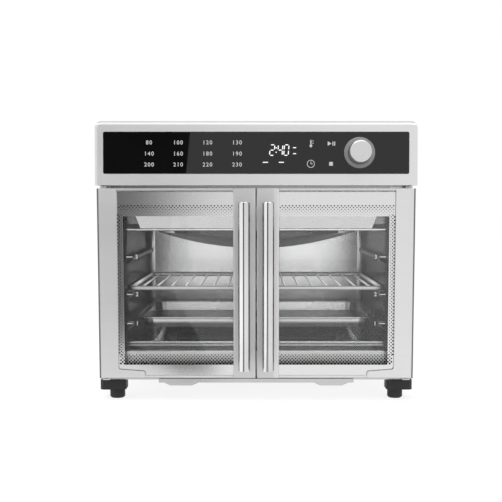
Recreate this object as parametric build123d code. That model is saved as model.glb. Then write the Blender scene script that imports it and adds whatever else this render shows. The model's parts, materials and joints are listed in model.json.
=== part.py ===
from build123d import *
import os
from math import atan2, cos, degrees, radians, sin, sqrt

# A countertop oven with two glass doors hinged at its sides, in millimetres.
# +X is to the right, +Y to the back and +Z up, with the feet on Z = 0.

# Clearances
seat_gap = 0.3
running_fit = 0.05
slip_fit = 0.1

# Body shell
body_width = 424.0
body_depth = 368.0
cover_top = 377.0
shoulder_radius = 14.0
cover_sheet = 1.0
body_sheet = 1.2
base_flange = 16.0

# Doors: two leaves that meet at the centre line
door_overhang = 3.0
doors_width = body_width + 2 * door_overhang
door_bottom = 31.7
door_height = 258.8
door_thickness = 18.0
door_gap = 1.3
hinge_stile_width = 26.5
stile_foot_reach = 63.0
stile_foot_rise = 12.3
stile_foot_end = 9.6
stile_foot_radius = 3.5
centre_stile_width = 30.5
stile_wall = 1.5
stile_corner = 2.0
trim_height = 3.5
glass_thickness = 3.2
glass_setback = 4.0
glass_grip = 5.0
trim_grip = 2.0

# Door handles
handle_diameter = 15.5
handle_offset = 15.9
handle_reach = 32.0
handle_start = 47.0
handle_length = 225.0
handle_chamfer = 0.8
post_diameter = 9.0
post_inset = 22.0

# Hinges
pin_diameter = 5.0
pin_grip = 14.0
bush_length = 16.0
bracket_sheet = 2.0
bracket_width = 12.0
bracket_gap = 0.8
bracket_flange = 18.0
bracket_reach = 24.0

# Front frame, hood and sill round the cavity mouth
frame_gap = 2.5
frame_sheet = 1.5
frame_top = 292.0
frame_tongue_top = 345.0
frame_tongue_inset = 12.0
frame_tongue_width = body_width - 2 * frame_tongue_inset
mouth_bottom = 66.0
mouth_top = 254.0
hood_drop = 19.2
hood_run = 6.0
hood_flange = 14.0
hood_overlap = 4.0
hood_inset = 19.0
hood_taper = 6.5
lip_radius = 1.8
sill_rise = 11.0
sill_run = 13.0
sill_flange = 9.0
crest_bead = 2.2
middle_bead = 1.1
lip_bead = 1.6
middle_bead_share = 0.3

# Cavity
side_space = 33.5
rear_space = 52.0
cavity_width = body_width - 2 * side_space
cavity_back = body_depth - rear_space
mouth_flare = 5.7
mouth_width = cavity_width + 2 * mouth_flare
flare_run = 7.5
cavity_floor_top = 72.0
cavity_ceiling = 242.0
wall_flange = 8.0
cavity_corner = 10.0
rail_tops = (107.5, 150.4, 198.0)
rail_reach = 9.0
rail_nose = 5.0
rail_slope = 6.0
rail_edge = 1.2
well_inset = 28.5
well_width = cavity_width - 2 * well_inset
well_front = 70.0
well_rear = 26.0
well_back = cavity_back - well_rear
well_depth = 38.0
well_slope = 26.0

# Heaters
lower_tube_diameter = 8.0
lower_tube_spread = 110.0
lower_tube_rise = 22.0
bush_diameter = 13.0
bush_collar_diameter = 19.0
bush_collar = 4.0
bush_depth = 12.0
tube_overlap = 8.0
ring_tube_diameter = 6.5
ring_tube_sides = 8
ring_radius = 100.0
ring_drop = 13.0
ring_opening = 20.0
ring_leg_rise = 22.0

# Fan, motor and guard under the ceiling
guard_half_width = 148.0
guard_half_depth = 125.0
guard_shift = 22.0
guard_low = 203.0
guard_sag = 25.0
guard_sheet = 1.0
guard_rings = 8
guard_flange = 4.0
guard_slots = 7
guard_slot_turn = 15.0
guard_slot_pitch = 20.0
guard_slot_width = 7.0
guard_slot_height = 7.0
guard_inlets = 8
guard_inlet_radius = 32.0
guard_inlet_length = 26.0
guard_inlet_width = 6.0
fan_radius = 58.0
fan_height = 15.0
fan_clearance = 6.0
fan_blades = 10
fan_sheet = 1.0
fan_sweep = 25.0
fan_hub_diameter = 20.0
fan_shaft_diameter = 6.0
motor_width = 62.0
motor_height = 34.0
motor_corner = 8.0
motor_lift = 14.0
motor_boss_diameter = 24.0
motor_boss_height = 6.0
motor_bore_depth = 12.0
motor_span = 84.0
motor_foot = 16.0
motor_strap = 40.0

# Control fascia
fascia_overhang = 5.5
fascia_width = body_width + 2 * fascia_overhang
fascia_bottom = 294.5
fascia_top = 380.5
fascia_lean = 6.5
fascia_depth = 44.0
fascia_wall = 2.5
fascia_radius = 4.5
fascia_corner = 9.5
panel_inset = 12.0
panel_width = fascia_width - 2 * panel_inset
panel_height = 56.0
panel_rise = 15.6
panel_corner = 2.0
panel_thickness = 2.0
panel_proud = 0.4
display_x = 31.0
display_width = 46.0
display_height = 22.0
display_thickness = 8.0
knob_inset = 66.7
knob_x = panel_width / 2 - knob_inset
knob_diameter = 30.6
knob_length = 20.0
knob_taper = 0.9
knob_edge = 1.6
knob_lift = 1.0
knob_bore_depth = 12.0
ring_outer_diameter = 41.7
ring_inner_diameter = 31.4
ring_height = 2.2
ring_edge = 0.8
knob_shaft_diameter = 6.0
encoder_width = 14.0
encoder_height = 6.0
encoder_neck_diameter = 9.0
board_width = 330.0
board_height = 48.0
board_sheet = 1.6
board_setback = 9.0
standoff_diameter = 6.0
power_board_width = 92.0
power_board_depth = 70.0
power_board_lift = 10.0
power_board_inset = 58.5
relay_size = 16.0

# Rack and pan
rack_clearance = 2.0
rack_width = cavity_width - 2 * rack_clearance
rack_front = 27.0
rack_rear = 5.0
rack_depth = cavity_back - rack_front - rack_rear
rack_rod_diameter = 6.0
rack_wire_diameter = 3.0
rack_sides = 8
rack_pitch = 20.0
rack_crossbars = 2
pan_clearance = 7.0
pan_width = cavity_width - 2 * pan_clearance
pan_front = 50.0
pan_rear = 26.0
pan_depth = cavity_back - pan_front - pan_rear
pan_height = 15.0
pan_corner = 25.0
pan_draft = 1.2
pan_rim = 9.0
pan_sheet = 1.0
pan_bead = 1.6
pan_bead_edge = 0.8

# Crumb tray
tray_inset = 16.0
tray_width = well_width - 2 * tray_inset
tray_depth = 300.0
tray_setback = 3.5
tray_sheet = 0.8
tray_wall = 2.8
tray_flange_bottom = 25.5
tray_flange_sheet = 1.5
lip_spread = 206.0
lip_width = 48.0
lip_narrow = 30.0
lip_drop = 4.0
runner_width = 9.0
runner_height = 8.0
runner_sheet = 1.0

# Feet and base
foot_height = 26.5
foot_cylinder_height = 13.0
foot_block_width = 35.5
foot_block_shift = 4.4
foot_block_depth = 30.0
foot_block_corner = 4.0
foot_diameter = 21.0
foot_edge = 2.0
foot_inset = 17.5
foot_front_setback = 31.0
foot_back_inset = 33.0
stud_diameter = 6.0
stud_length = 6.0

# Door magnets and strikes
magnet_width = 24.0
magnet_height = 9.0
magnet_offset = 19.0
magnet_drop = 13.0
magnet_body = 8.0
magnet_proud = 1.2
strike_sheet = 1.0

# Vents, inlet and screws of the shell
slot_length = 34.0
slot_width = 4.0
slot_clip = 1.4
side_slots = 12
side_slot_pitch = 11.0
side_slot_setback = 205.0
side_slot_drop = 77.0
top_slots = 16
top_slot_pitch = 11.0
top_slot_inset = 60.0
rear_slots = 18
rear_slot_pitch = 12.0
rear_slot_drop = 77.0
rear_slot_rise = 93.5
inlet_inset = 62.0
inlet_x = body_width / 2 - inlet_inset
inlet_z = 62.0
inlet_bore = 8.0
inlet_body_diameter = 16.0
inlet_flange_diameter = 24.0
inlet_proud = 5.0
inlet_depth = 10.0
screw_head_diameter = 8.0
screw_head_height = 2.2
screw_head_sides = 12
screw_sides = 8
screw_diameter = 4.0
screw_length = 8.0
rear_screw_inset = 14.0
screw_rise = 23.5
screw_drop = 27.0

# Places worked out from the sizes above
handle_radius = handle_diameter / 2
overall_depth = handle_reach + handle_radius + body_depth + inlet_proud
front = handle_reach + handle_radius - overall_depth / 2
rear = front + body_depth
half_body = body_width / 2
half_cover = half_body - cover_sheet
half_cavity = cavity_width / 2
door_top = door_bottom + door_height
door_back = front + door_thickness
frame_front = door_back + frame_gap
frame_back = frame_front + frame_sheet
cavity_start = frame_back + seat_gap
cavity_end = front + cavity_back
corner_start = cavity_end + body_sheet - 2 * (cavity_corner + body_sheet)
hinge_x = doors_width / 2 - door_thickness / 2
hinge_y = front + door_thickness / 2
base_bottom = foot_height
base_top = base_bottom + body_sheet
hood_low = mouth_top - hood_drop
fan_y = front + cavity_back / 2 + guard_shift
half_mouth = mouth_width / 2
ceiling_top = cavity_ceiling + body_sheet
low_screws = base_bottom + screw_rise
high_screws = cover_top - screw_drop
rear_screw_levels = (low_screws, (low_screws + high_screws) / 2, high_screws)


# Shared shapes
def block(x_span, y_span, z_span):
    """A box between three pairs of planes."""
    sizes = [high - low for low, high in (x_span, y_span, z_span)]
    middle = [(low + high) / 2 for low, high in (x_span, y_span, z_span)]
    return Pos(*middle) * Box(*sizes)


def rod(start, end, radius):
    """A round bar from one point to another."""
    run = Vector(*end) - Vector(*start)
    lower_end = (Align.CENTER, Align.CENTER, Align.MIN)
    return Plane(origin=start, z_dir=run) * Cylinder(radius, run.length, align=lower_end)


def prism(start, end, radius, sides):
    """A straight bar with flat sides from one point to another."""
    run = Vector(*end) - Vector(*start)
    return Plane(origin=start, z_dir=run) * extrude(RegularPolygon(radius, sides), run.length)


def clipped(width, depth, corner):
    """A rectangle with its corners cut off."""
    face = Rectangle(width, depth)
    return chamfer(face.vertices(), corner)


def soft_corners(width, depth, radius):
    """A rectangle whose corners are rounded in short straight steps."""
    points = []
    turns = (0, 30, 60, 90)
    for quarter, (side_x, side_y) in enumerate(((1, 1), (-1, 1), (-1, -1), (1, -1))):
        for turn in turns:
            angle = radians(turn + quarter * turns[-1])
            points.append((side_x * (width / 2 - radius) + radius * cos(angle),
                           side_y * (depth / 2 - radius) + radius * sin(angle)))
    return outline(points)


def outline(points):
    """A flat face through the points, facing up whichever way round they run."""
    ahead = points[1:] + points[:1]
    turning = sum(a[0] * b[1] - b[0] * a[1] for a, b in zip(points, ahead))
    ordered = points if turning > 0 else points[::-1]
    return Polygon(*ordered, align=None)


def folded(points, thickness):
    """The section of a folded sheet: the points give one side, the other lies to their left."""
    path = [Vector(*point) for point in points]
    runs = [(b - a).normalized() for a, b in zip(path, path[1:])]
    sides = [Vector(-run.Y, run.X) for run in runs]
    far = [path[0] + sides[0] * thickness]
    for corner, before, after in zip(path[1:], sides, sides[1:]):
        far.append(corner + (before + after) * (thickness / (1 + before.dot(after))))
    far.append(path[-1] + sides[-1] * thickness)
    return outline([(p.X, p.Y) for p in path + far[::-1]])


def along_x(face, x_span):
    """Extrude a face drawn in Y and Z from one X to another."""
    return Pos(x_span[0], 0, 0) * extrude(Plane.YZ * face, x_span[1] - x_span[0])


def along_y(face, y_span):
    """Extrude a face drawn in X and Z from one Y to another."""
    return Pos(0, y_span[1], 0) * extrude(Plane.XZ * face, y_span[1] - y_span[0])


def along_z(face, z_span):
    """Extrude a face drawn in X and Y from one Z to another."""
    return Pos(0, 0, z_span[0]) * extrude(face, z_span[1] - z_span[0])


def mirrored(shape):
    """The same shape on the other side of the centre line."""
    return mirror(shape, about=Plane.YZ)


def both_sides(shape):
    """A shape and its mirror image, as separate solids."""
    return Compound(children=[*shape.solids(), *mirrored(shape).solids()])


def arch(half_width, bottom, top, radius):
    """Upright sides with rounded shoulders, as seen from the front."""
    face = Pos(0, (bottom + top) / 2) * Rectangle(2 * half_width, top - bottom)
    return fillet(face.vertices().group_by(Axis.Y)[-1], radius)


def slot_bank(count, pitch, length, width):
    """Slots with clipped ends that stand side by side about the origin."""
    slot = clipped(width, length, slot_clip)
    places = [Pos((index - (count - 1) / 2) * pitch, 0) for index in range(count)]
    return Sketch(children=[place * slot for place in places])


# Shell of the body
def make_base_pan():
    half = half_cover - seat_gap
    section = folded([(half, base_top + base_flange), (half, base_bottom), (-half, base_bottom),
                      (-half, base_top + base_flange)][::-1], body_sheet)
    pan = along_y(section, (frame_back + seat_gap, rear - body_sheet - seat_gap))
    for x, y in foot_places():
        pan -= rod((x, y, 0), (x, y, cover_top), stud_diameter / 2 + slip_fit)
    return pan


def foot_places():
    """The four corners that stand on the feet."""
    x = half_body - foot_inset
    return [(side * x, y) for side in (-1, 1) for y in (front + foot_front_setback, rear - foot_back_inset)]


def make_outer_cover():
    span = (frame_back + seat_gap, rear)
    outer = arch(half_body, base_bottom, cover_top, shoulder_radius)
    inner = arch(half_cover, base_bottom - body_sheet, cover_top - cover_sheet,
                 shoulder_radius - cover_sheet)
    cover = along_y(outer, span) - along_y(inner, (span[0] - body_sheet, span[1] + body_sheet))
    side_bank = slot_bank(side_slots, side_slot_pitch, slot_length, slot_width)
    side_bank = Pos(front + side_slot_setback, cover_top - side_slot_drop) * side_bank
    cover -= along_x(side_bank, (-half_body, half_body))
    top_bank = slot_bank(top_slots, top_slot_pitch, slot_length, slot_width)
    cover -= along_z(Pos(0, rear - top_slot_inset) * top_bank, (frame_top, cover_top))
    for x, y, z, turn in side_screw_places():
        cover -= rod((x, y, z), (x - turn * screw_length, y, z), screw_diameter / 2 + slip_fit)
    return cover


def make_rear_panel():
    half = half_cover - seat_gap
    face = arch(half, base_top + seat_gap, cover_top - cover_sheet - seat_gap, shoulder_radius - cover_sheet)
    rear_bank = slot_bank(rear_slots, rear_slot_pitch, slot_length, slot_width)
    for level in (cover_top - rear_slot_drop, base_bottom + rear_slot_rise):
        face -= Pos(0, level) * rear_bank
    face -= Pos(inlet_x, inlet_z) * Circle(inlet_body_diameter / 2 + slip_fit)
    for x, z in rear_screw_places():
        face -= Pos(x, z) * Circle(screw_diameter / 2 + slip_fit)
    panel = along_y(face, (rear - body_sheet, rear))
    flange_foot = base_top + base_flange + seat_gap
    flange_face = folded([(half, flange_foot), (half, cover_top - shoulder_radius)], body_sheet)
    flange = along_y(flange_face, (rear - body_sheet - base_flange, rear - body_sheet))
    panel = panel + flange + mirrored(flange)
    for x, y, z, turn in side_screw_places():
        panel -= rod((x, y, z), (x - turn * screw_length, y, z), screw_diameter / 2 + slip_fit)
    return panel


def rear_screw_places():
    """Screws that hold the rear panel, seen from behind."""
    x = half_cover - rear_screw_inset
    return [(side * x, z) for side in (-1, 1) for z in rear_screw_levels]


def side_screw_places():
    """Screws through the cover's sides into the flanges behind it."""
    y = rear - body_sheet - base_flange / 2
    return [(turn * half_body, y, z, turn) for turn in (-1, 1) for z in rear_screw_levels[1:]]


def pan_screw():
    """A screw standing on Z = 0 with its head up."""
    head = along_z(RegularPolygon(screw_head_diameter / 2, screw_head_sides), (0, screw_head_height))
    head = chamfer(head.edges().group_by(Axis.Z)[-1], screw_head_height / 2)
    return head + along_z(RegularPolygon(screw_diameter / 2, screw_sides), (-screw_length, 0))


def make_shell_screws():
    screws = []
    for x, z in rear_screw_places():
        screws.append(Plane(origin=(x, rear, z), z_dir=(0, 1, 0)) * pan_screw())
    for x, y, z, turn in side_screw_places():
        screws.append(Plane(origin=(x, y, z), z_dir=(turn, 0, 0)) * pan_screw())
    return Compound(children=screws)


def make_cord_inlet():
    lower_end = (Align.CENTER, Align.CENTER, Align.MIN)
    flange = Cylinder(inlet_flange_diameter / 2, inlet_proud, align=lower_end)
    flange = chamfer(flange.edges().group_by(Axis.Z)[-1], inlet_proud / 2)
    body = Pos(0, 0, -inlet_depth) * Cylinder(inlet_body_diameter / 2, inlet_depth, align=lower_end)
    bore = Cylinder(inlet_bore / 2, 2 * (inlet_depth + inlet_proud))
    return Plane(origin=(inlet_x, rear, inlet_z), z_dir=(0, 1, 0)) * (flange + body - bore)


def make_feet():
    feet = []
    for x, y in foot_places():
        block_face = clipped(foot_block_width, foot_block_depth, foot_block_corner)
        outward = foot_block_shift if x > 0 else -foot_block_shift
        upper = along_z(Pos(outward, 0) * block_face, (foot_cylinder_height, foot_height))
        lower = rod((0, 0, 0), (0, 0, foot_cylinder_height), foot_diameter / 2)
        lower = chamfer(lower.edges().group_by(Axis.Z)[0], foot_edge)
        stud = rod((0, 0, foot_height), (0, 0, foot_height + stud_length), stud_diameter / 2)
        feet.append(Pos(x, y, 0) * (upper + lower + stud))
    return Compound(children=feet)


# Front frame, hood and sill
def make_front_frame():
    plate = outline([(-half_body, base_bottom), (half_body, base_bottom), (half_body, frame_top),
                     (frame_tongue_width / 2, frame_top), (frame_tongue_width / 2, frame_tongue_top),
                     (-frame_tongue_width / 2, frame_tongue_top), (-frame_tongue_width / 2, frame_top),
                     (-half_body, frame_top)])
    mouth = Pos(0, (mouth_bottom + mouth_top) / 2) * Rectangle(mouth_width, mouth_top - mouth_bottom)
    slot_top = door_bottom
    slot_half = tray_width / 2 + seat_gap
    slot = Pos(0, (base_bottom + slot_top) / 2) * Rectangle(2 * slot_half, slot_top - base_bottom)
    window_height = frame_tongue_top - frame_top - 2 * wall_flange
    window = Pos(0, (frame_top + frame_tongue_top) / 2) * Rectangle(board_width, window_height)
    face = plate - mouth - slot - window
    magnet_hole = Rectangle(magnet_width + 2 * slip_fit, magnet_height + 2 * slip_fit)
    for side in (-1, 1):
        face -= Pos(side * magnet_offset, door_top - magnet_drop) * magnet_hole
    return along_y(face, (frame_front, frame_back))


def make_header_hood():
    """A sheet on the frame above the mouth, with a tongue bent down inside it and a rod along its edge."""
    face = frame_front - body_sheet
    fold = mouth_top - body_sheet
    path = [(face, mouth_top + hood_flange), (face, fold), (face + hood_run, hood_low)]
    half = half_mouth + hood_overlap
    hood = along_x(folded(path, body_sheet), (-half, half))
    shoulder = half_mouth - hood_inset
    below = hood_low - hood_drop
    for side in (-1, 1):
        corner = outline([(side * shoulder, mouth_top), (side * (shoulder - hood_taper), hood_low),
                          (side * (shoulder - hood_taper), below), (side * (half + hood_taper), below),
                          (side * (half + hood_taper), mouth_top)])
        hood -= along_y(corner, (face - hood_run, face + 2 * hood_run))
    lip_y = face + hood_run
    return hood + rod((-half_cavity, lip_y, hood_low), (half_cavity, lip_y, hood_low), lip_radius)


def make_sill():
    """A ridge along the bottom of the mouth, with a bead on its crest, its front slope and its lip."""
    start = frame_back + seat_gap
    crest = mouth_bottom + sill_rise
    half = half_cavity - seat_gap
    path = [(start, mouth_bottom - sill_flange), (start, mouth_bottom), (start + sill_run, crest),
            (start + 2 * sill_run, cavity_floor_top)]
    sill = along_x(folded(path[::-1], body_sheet), (-half, half))
    middle_y = start + sill_run * (1 - middle_bead_share)
    middle_z = crest - sill_rise * middle_bead_share
    beads = ((start + sill_run, crest, crest_bead), (middle_y, middle_z, middle_bead),
             (start + lip_bead, mouth_bottom, lip_bead))
    for y, z, radius in beads:
        sill += rod((-half, y, z), (half, y, z), radius)
    return sill


# Cavity
def make_right_wall():
    """The right wall, flared out to the mouth and pressed inwards into a rail at each rack level."""
    path = [(half_cavity, cavity_ceiling - seat_gap)]
    nose = half_cavity - rail_reach
    for top in sorted(rail_tops, reverse=True):
        under = top - rail_edge - rail_nose
        path += [(half_cavity, top), (nose + rail_edge, top), (nose, top - rail_edge), (nose, under),
                 (half_cavity, under - rail_slope)]
    low = cavity_floor_top - wall_flange
    path.append((half_cavity, low))
    wall_start = cavity_start + flare_run
    wall = along_y(folded(path, body_sheet), (wall_start, corner_start - seat_gap))
    flare = [(half_cavity, wall_start + body_sheet), (half_cavity, wall_start), (half_mouth, cavity_start)]
    return wall + along_z(folded(flare, body_sheet), (low, mouth_top))


def make_back_wall():
    """The back wall, bent forward round both upright corners to meet the side walls."""
    outer_radius = cavity_corner + body_sheet
    loop = RectangleRounded(cavity_width + 2 * body_sheet, 4 * outer_radius, outer_radius)
    room = Rectangle(cavity_width, 4 * outer_radius - 2 * body_sheet)
    loop -= fillet(room.vertices(), cavity_corner)
    rear_half = Pos(0, outer_radius) * Rectangle(cavity_width + 2 * outer_radius, 2 * outer_radius)
    section = Pos(0, corner_start) * (loop & rear_half)
    return along_z(section, (cavity_floor_top + seat_gap, cavity_ceiling - seat_gap))


def make_ceiling():
    half = half_cavity + body_sheet
    span = (cavity_start + flare_run + body_sheet + seat_gap, cavity_end + body_sheet + wall_flange)
    path = [(-half, ceiling_top + wall_flange), (-half, cavity_ceiling), (half, cavity_ceiling),
            (half, ceiling_top + wall_flange)]
    ceiling = along_y(folded(path, body_sheet), span)
    upstand = (cavity_ceiling, mouth_top + wall_flange)
    ceiling += block((-half, half), (span[0], span[0] + body_sheet), upstand)
    ceiling -= rod((0, fan_y, 0), (0, fan_y, cover_top), fan_hub_diameter / 2)
    for x, y in ring_leg_places():
        ceiling -= rod((x, y, 0), (x, y, cover_top), ring_tube_diameter / 2 + slip_fit)
    return ceiling


def make_floor():
    """The cavity floor, with a funnel of four sloped sides down to the crumb tray."""
    half = half_cavity - seat_gap
    span = (cavity_start + 2 * sill_run + seat_gap, cavity_end + body_sheet)
    well = (front + well_front, front + well_back)
    floor_low = cavity_floor_top - body_sheet
    plate = block((-half, half), span, (floor_low, cavity_floor_top))
    depth = well[1] - well[0]
    middle = (well[0] + well[1]) / 2

    def funnel(inset, drop):
        upper = Pos(0, middle, cavity_floor_top) * Rectangle(well_width - 2 * inset, depth - 2 * inset)
        return extrude(upper, drop, dir=(0, 0, -1), taper=degrees(atan2(well_slope, well_depth)))

    floor = plate + funnel(0, well_depth) - funnel(body_sheet, well_depth)
    for y in lower_tube_places():
        floor -= rod((-half, y, lower_tube_z()), (half, y, lower_tube_z()), bush_diameter / 2 + slip_fit)
    return floor


# Heaters
def lower_tube_places():
    middle = front + (well_front + well_back) / 2
    return [middle - lower_tube_spread / 2, middle + lower_tube_spread / 2]


def lower_tube_z():
    return cavity_floor_top - well_depth + lower_tube_rise


def bush_face_x():
    """Where the funnel's end wall stands at the height of the lower tubes."""
    return well_width / 2 - well_slope * (well_depth - lower_tube_rise) / well_depth


def make_lower_heaters():
    reach = bush_face_x() + tube_overlap
    z = lower_tube_z()
    tubes = [rod((-reach, y, z), (reach, y, z), lower_tube_diameter / 2) for y in lower_tube_places()]
    return Compound(children=tubes)


def make_heater_bushes():
    """Ceramic bushes through the funnel's ends, with a collar inside and a blind bore for the tube."""
    bushes = []
    z = lower_tube_z()
    inner = bush_face_x() - bush_depth
    outer = bush_face_x() + bush_depth
    bore_end = bush_face_x() + tube_overlap + slip_fit
    for y in lower_tube_places():
        bush = rod((inner, y, z), (outer, y, z), bush_diameter / 2)
        bush += rod((inner, y, z), (inner + bush_collar, y, z), bush_collar_diameter / 2)
        bush -= rod((inner - bush_collar, y, z), (bore_end, y, z), lower_tube_diameter / 2 + slip_fit)
        bushes += [bush, mirrored(bush)]
    return Compound(children=bushes)


def ring_leg_places():
    """The two upright ends of the ring heater, at the back of the ring."""
    turn = radians(ring_opening) / 2
    return [(side * ring_radius * sin(turn), fan_y + ring_radius * cos(turn)) for side in (-1, 1)]


def make_ring_heater():
    radius = ring_tube_diameter / 2
    z = cavity_ceiling - ring_drop
    profile = Plane.XZ * Pos(ring_radius, z) * RegularPolygon(radius, ring_tube_sides)
    ring = revolve(profile, Axis.Z, 360 - ring_opening)
    ring = Pos(0, fan_y, 0) * Rot(0, 0, 90 + ring_opening / 2) * ring
    for x, y in ring_leg_places():
        ring += prism((x, y, z - radius), (x, y, ceiling_top + ring_leg_rise), radius, ring_tube_sides)
    return ring


# Fan and guard
def guard_form(inset):
    """The guard's solid form: a shallow dome spun in narrow rings, with its front and back cut straight."""
    radius = guard_half_width - inset
    depth = guard_half_depth - inset
    low = guard_low + inset
    curve = (guard_half_width ** 2 + guard_sag ** 2) / (2 * guard_sag) - inset
    roof = cavity_ceiling - seat_gap
    rings = [radius * step / guard_rings for step in range(guard_rings + 1)]
    profile = [(ring, low + curve - sqrt(curve ** 2 - ring ** 2)) for ring in rings]
    dome = revolve(Plane.XZ * outline(profile + [(radius, roof), (0, roof)]), Axis.Z)
    return dome & block((-radius, radius), (-depth, depth), (low, roof))


def make_fan_guard():
    """A drawn dome with a flange on the ceiling, slots round its skirt and a ring of inlets."""
    roof = cavity_ceiling - seat_gap
    skirt_low = guard_low + guard_sag
    guard = guard_form(0)
    rim = Circle(guard_half_width + guard_flange)
    rim &= Rectangle(2 * guard_half_width + 2 * guard_flange, 2 * guard_half_depth + 2 * guard_flange)
    guard += along_z(rim, (roof - guard_sheet, roof))
    guard -= guard_form(guard_sheet)
    hollow = Circle(guard_half_width - guard_sheet)
    hollow &= Rectangle(2 * guard_half_width, 2 * guard_half_depth - 2 * guard_sheet)
    guard -= along_z(hollow, (skirt_low, roof))
    slot_z = (skirt_low + roof - guard_sheet) / 2
    for step in range(guard_slots):
        along = step - (guard_slots - 1) / 2
        side_slot = Box(2 * guard_flange, guard_slot_width, guard_slot_height)
        end_slot = Box(guard_slot_width, 2 * guard_flange, guard_slot_height)
        for side in (0, 180):
            place = Rot(0, 0, side + along * guard_slot_turn) * Pos(guard_half_width, 0, slot_z)
            guard -= place * side_slot
        for side in (-1, 1):
            guard -= Pos(along * guard_slot_pitch, side * guard_half_depth, slot_z) * end_slot
    inlet = Pos(guard_inlet_radius, 0, guard_low) * Box(guard_inlet_length, guard_inlet_width, guard_sag)
    for index in range(guard_inlets):
        guard -= Rot(0, 0, index * 360 / guard_inlets) * inlet
    return Pos(0, fan_y, 0) * guard


def make_fan():
    """A pressed impeller: a disc with upright blades swept back round its edge."""
    top = cavity_ceiling - fan_clearance
    low = top - fan_height
    disc = along_z(Circle(fan_radius), (top - fan_sheet, top))
    hub = along_z(Circle(fan_hub_diameter / 2), (low, top))
    blade_length = fan_radius - fan_hub_diameter
    blade = Pos(fan_radius - blade_length / 2 - fan_sheet, 0, (low + top) / 2)
    blade *= Rot(0, 0, fan_sweep) * Box(blade_length, fan_sheet, fan_height)
    fan = disc + hub
    for index in range(fan_blades):
        fan += Rot(0, 0, index * 360 / fan_blades) * blade
    fan -= Cylinder(fan_shaft_diameter / 2 + slip_fit, 2 * cover_top)
    return Pos(0, fan_y, 0) * fan


def motor_floor():
    return ceiling_top + motor_lift + body_sheet


def make_fan_shaft():
    low = cavity_ceiling - fan_clearance - fan_height
    high = motor_floor() + motor_bore_depth - seat_gap
    return rod((0, fan_y, low), (0, fan_y, high), fan_shaft_diameter / 2)


def make_fan_motor():
    low = motor_floor()
    body = along_z(RectangleRounded(motor_width, motor_width, motor_corner), (low, low + motor_height))
    top = low + motor_height
    body += along_z(Circle(motor_boss_diameter / 2), (top, top + motor_boss_height))
    body -= along_z(Circle(fan_shaft_diameter / 2 + running_fit), (low, low + motor_bore_depth))
    return Pos(0, fan_y, 0) * body


def make_motor_bracket():
    half = motor_span / 2
    deck = ceiling_top + motor_lift
    path = [(-half - motor_foot, ceiling_top), (-half, ceiling_top), (-half, deck), (half, deck),
            (half, ceiling_top), (half + motor_foot, ceiling_top)]
    strap = along_y(folded(path, body_sheet), (fan_y - motor_strap / 2, fan_y + motor_strap / 2))
    return strap - rod((0, fan_y, 0), (0, fan_y, cover_top), fan_hub_diameter / 2)


def make_power_board():
    """The mains board on four pillars above the ceiling."""
    board_low = ceiling_top + power_board_lift
    board = along_z(Rectangle(power_board_width, power_board_depth), (board_low, board_low + board_sheet))
    x = power_board_width / 2 - standoff_diameter
    y = power_board_depth / 2 - standoff_diameter
    for side_x in (-x, x):
        for side_y in (-y, y):
            pillar = along_z(Circle(standoff_diameter / 2), (ceiling_top, board_low))
            board += Pos(side_x, side_y, 0) * pillar
    relay = Box(relay_size, relay_size, relay_size, align=(Align.CENTER, Align.CENTER, Align.MIN))
    for step in (-1, 0, 1):
        board += Pos(step * power_board_width / 3, 0, board_low + board_sheet) * relay
    return Pos(power_board_inset - half_cavity, fan_y, 0) * board


# Control fascia
fascia_rise = fascia_top - fascia_bottom
lean_angle = atan2(fascia_lean, fascia_rise)
panel_middle = panel_rise + panel_height / 2
face_plane = Plane(origin=(0, front + panel_middle * sin(lean_angle),
                           fascia_bottom + panel_middle * cos(lean_angle)),
                   x_dir=(1, 0, 0), z_dir=(0, -cos(lean_angle), sin(lean_angle)))
board_depth = fascia_wall + board_setback


def on_face(face, low, high):
    """Extrude a face drawn on the leaning front between two depths along its normal."""
    return face_plane * along_z(face, (low, high))


def board_posts():
    x = board_width / 2 - standoff_diameter
    y = board_height / 2 - standoff_diameter
    return [Pos(side_x, side_y) for side_x in (-x, x) for side_y in (-y, y)]


def make_fascia():
    half = fascia_width / 2
    back = front + fascia_depth
    side = outline([(front, fascia_bottom), (front + fascia_lean, fascia_top), (back, fascia_top),
                    (back, fascia_bottom)])
    shell = along_x(side, (-half, half))
    shell = fillet(shell.edges().filter_by(Axis.Y).group_by(Axis.Z)[-1], fascia_corner)
    front_edges = shell.faces().sort_by(Axis.Y)[0].edges().sort_by(Axis.Z)[1:]
    shell = fillet(front_edges, fascia_radius)
    low = fascia_bottom + fascia_wall
    high = fascia_top - fascia_wall
    slope = fascia_lean / fascia_rise
    hollow = outline([(front + fascia_wall * (1 + slope), low),
                      (front + fascia_lean + fascia_wall * (1 - slope), high),
                      (back + fascia_wall, high), (back + fascia_wall, low)])
    inner_half = half - fascia_wall
    room = along_x(hollow, (-inner_half, inner_half))
    shell -= fillet(room.edges().filter_by(Axis.Y).group_by(Axis.Z)[-1], fascia_corner - fascia_wall)
    shell -= block((-inner_half, inner_half), (frame_front - seat_gap, back + fascia_wall),
                   (fascia_bottom - fascia_wall, low))
    recess = RectangleRounded(panel_width + 2 * slip_fit, panel_height + 2 * slip_fit,
                              panel_corner + slip_fit)
    shell -= on_face(recess, panel_proud - panel_thickness, fascia_radius)
    window = Pos(display_x, 0) * Rectangle(display_width, display_height)
    shell -= on_face(window, -board_depth, fascia_radius)
    for place in board_posts():
        shell += on_face(place * Circle(standoff_diameter / 2), -board_depth, slip_fit - fascia_wall)
    neck_hole = Pos(knob_x, 0) * Circle(encoder_neck_diameter / 2 + slip_fit)
    shell -= on_face(neck_hole, -board_depth, fascia_radius)
    return shell


def make_control_panel():
    face = RectangleRounded(panel_width, panel_height, panel_corner)
    face -= Pos(knob_x, 0) * Circle(knob_shaft_diameter / 2 + seat_gap)
    return on_face(face, panel_proud - panel_thickness, panel_proud)


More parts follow.
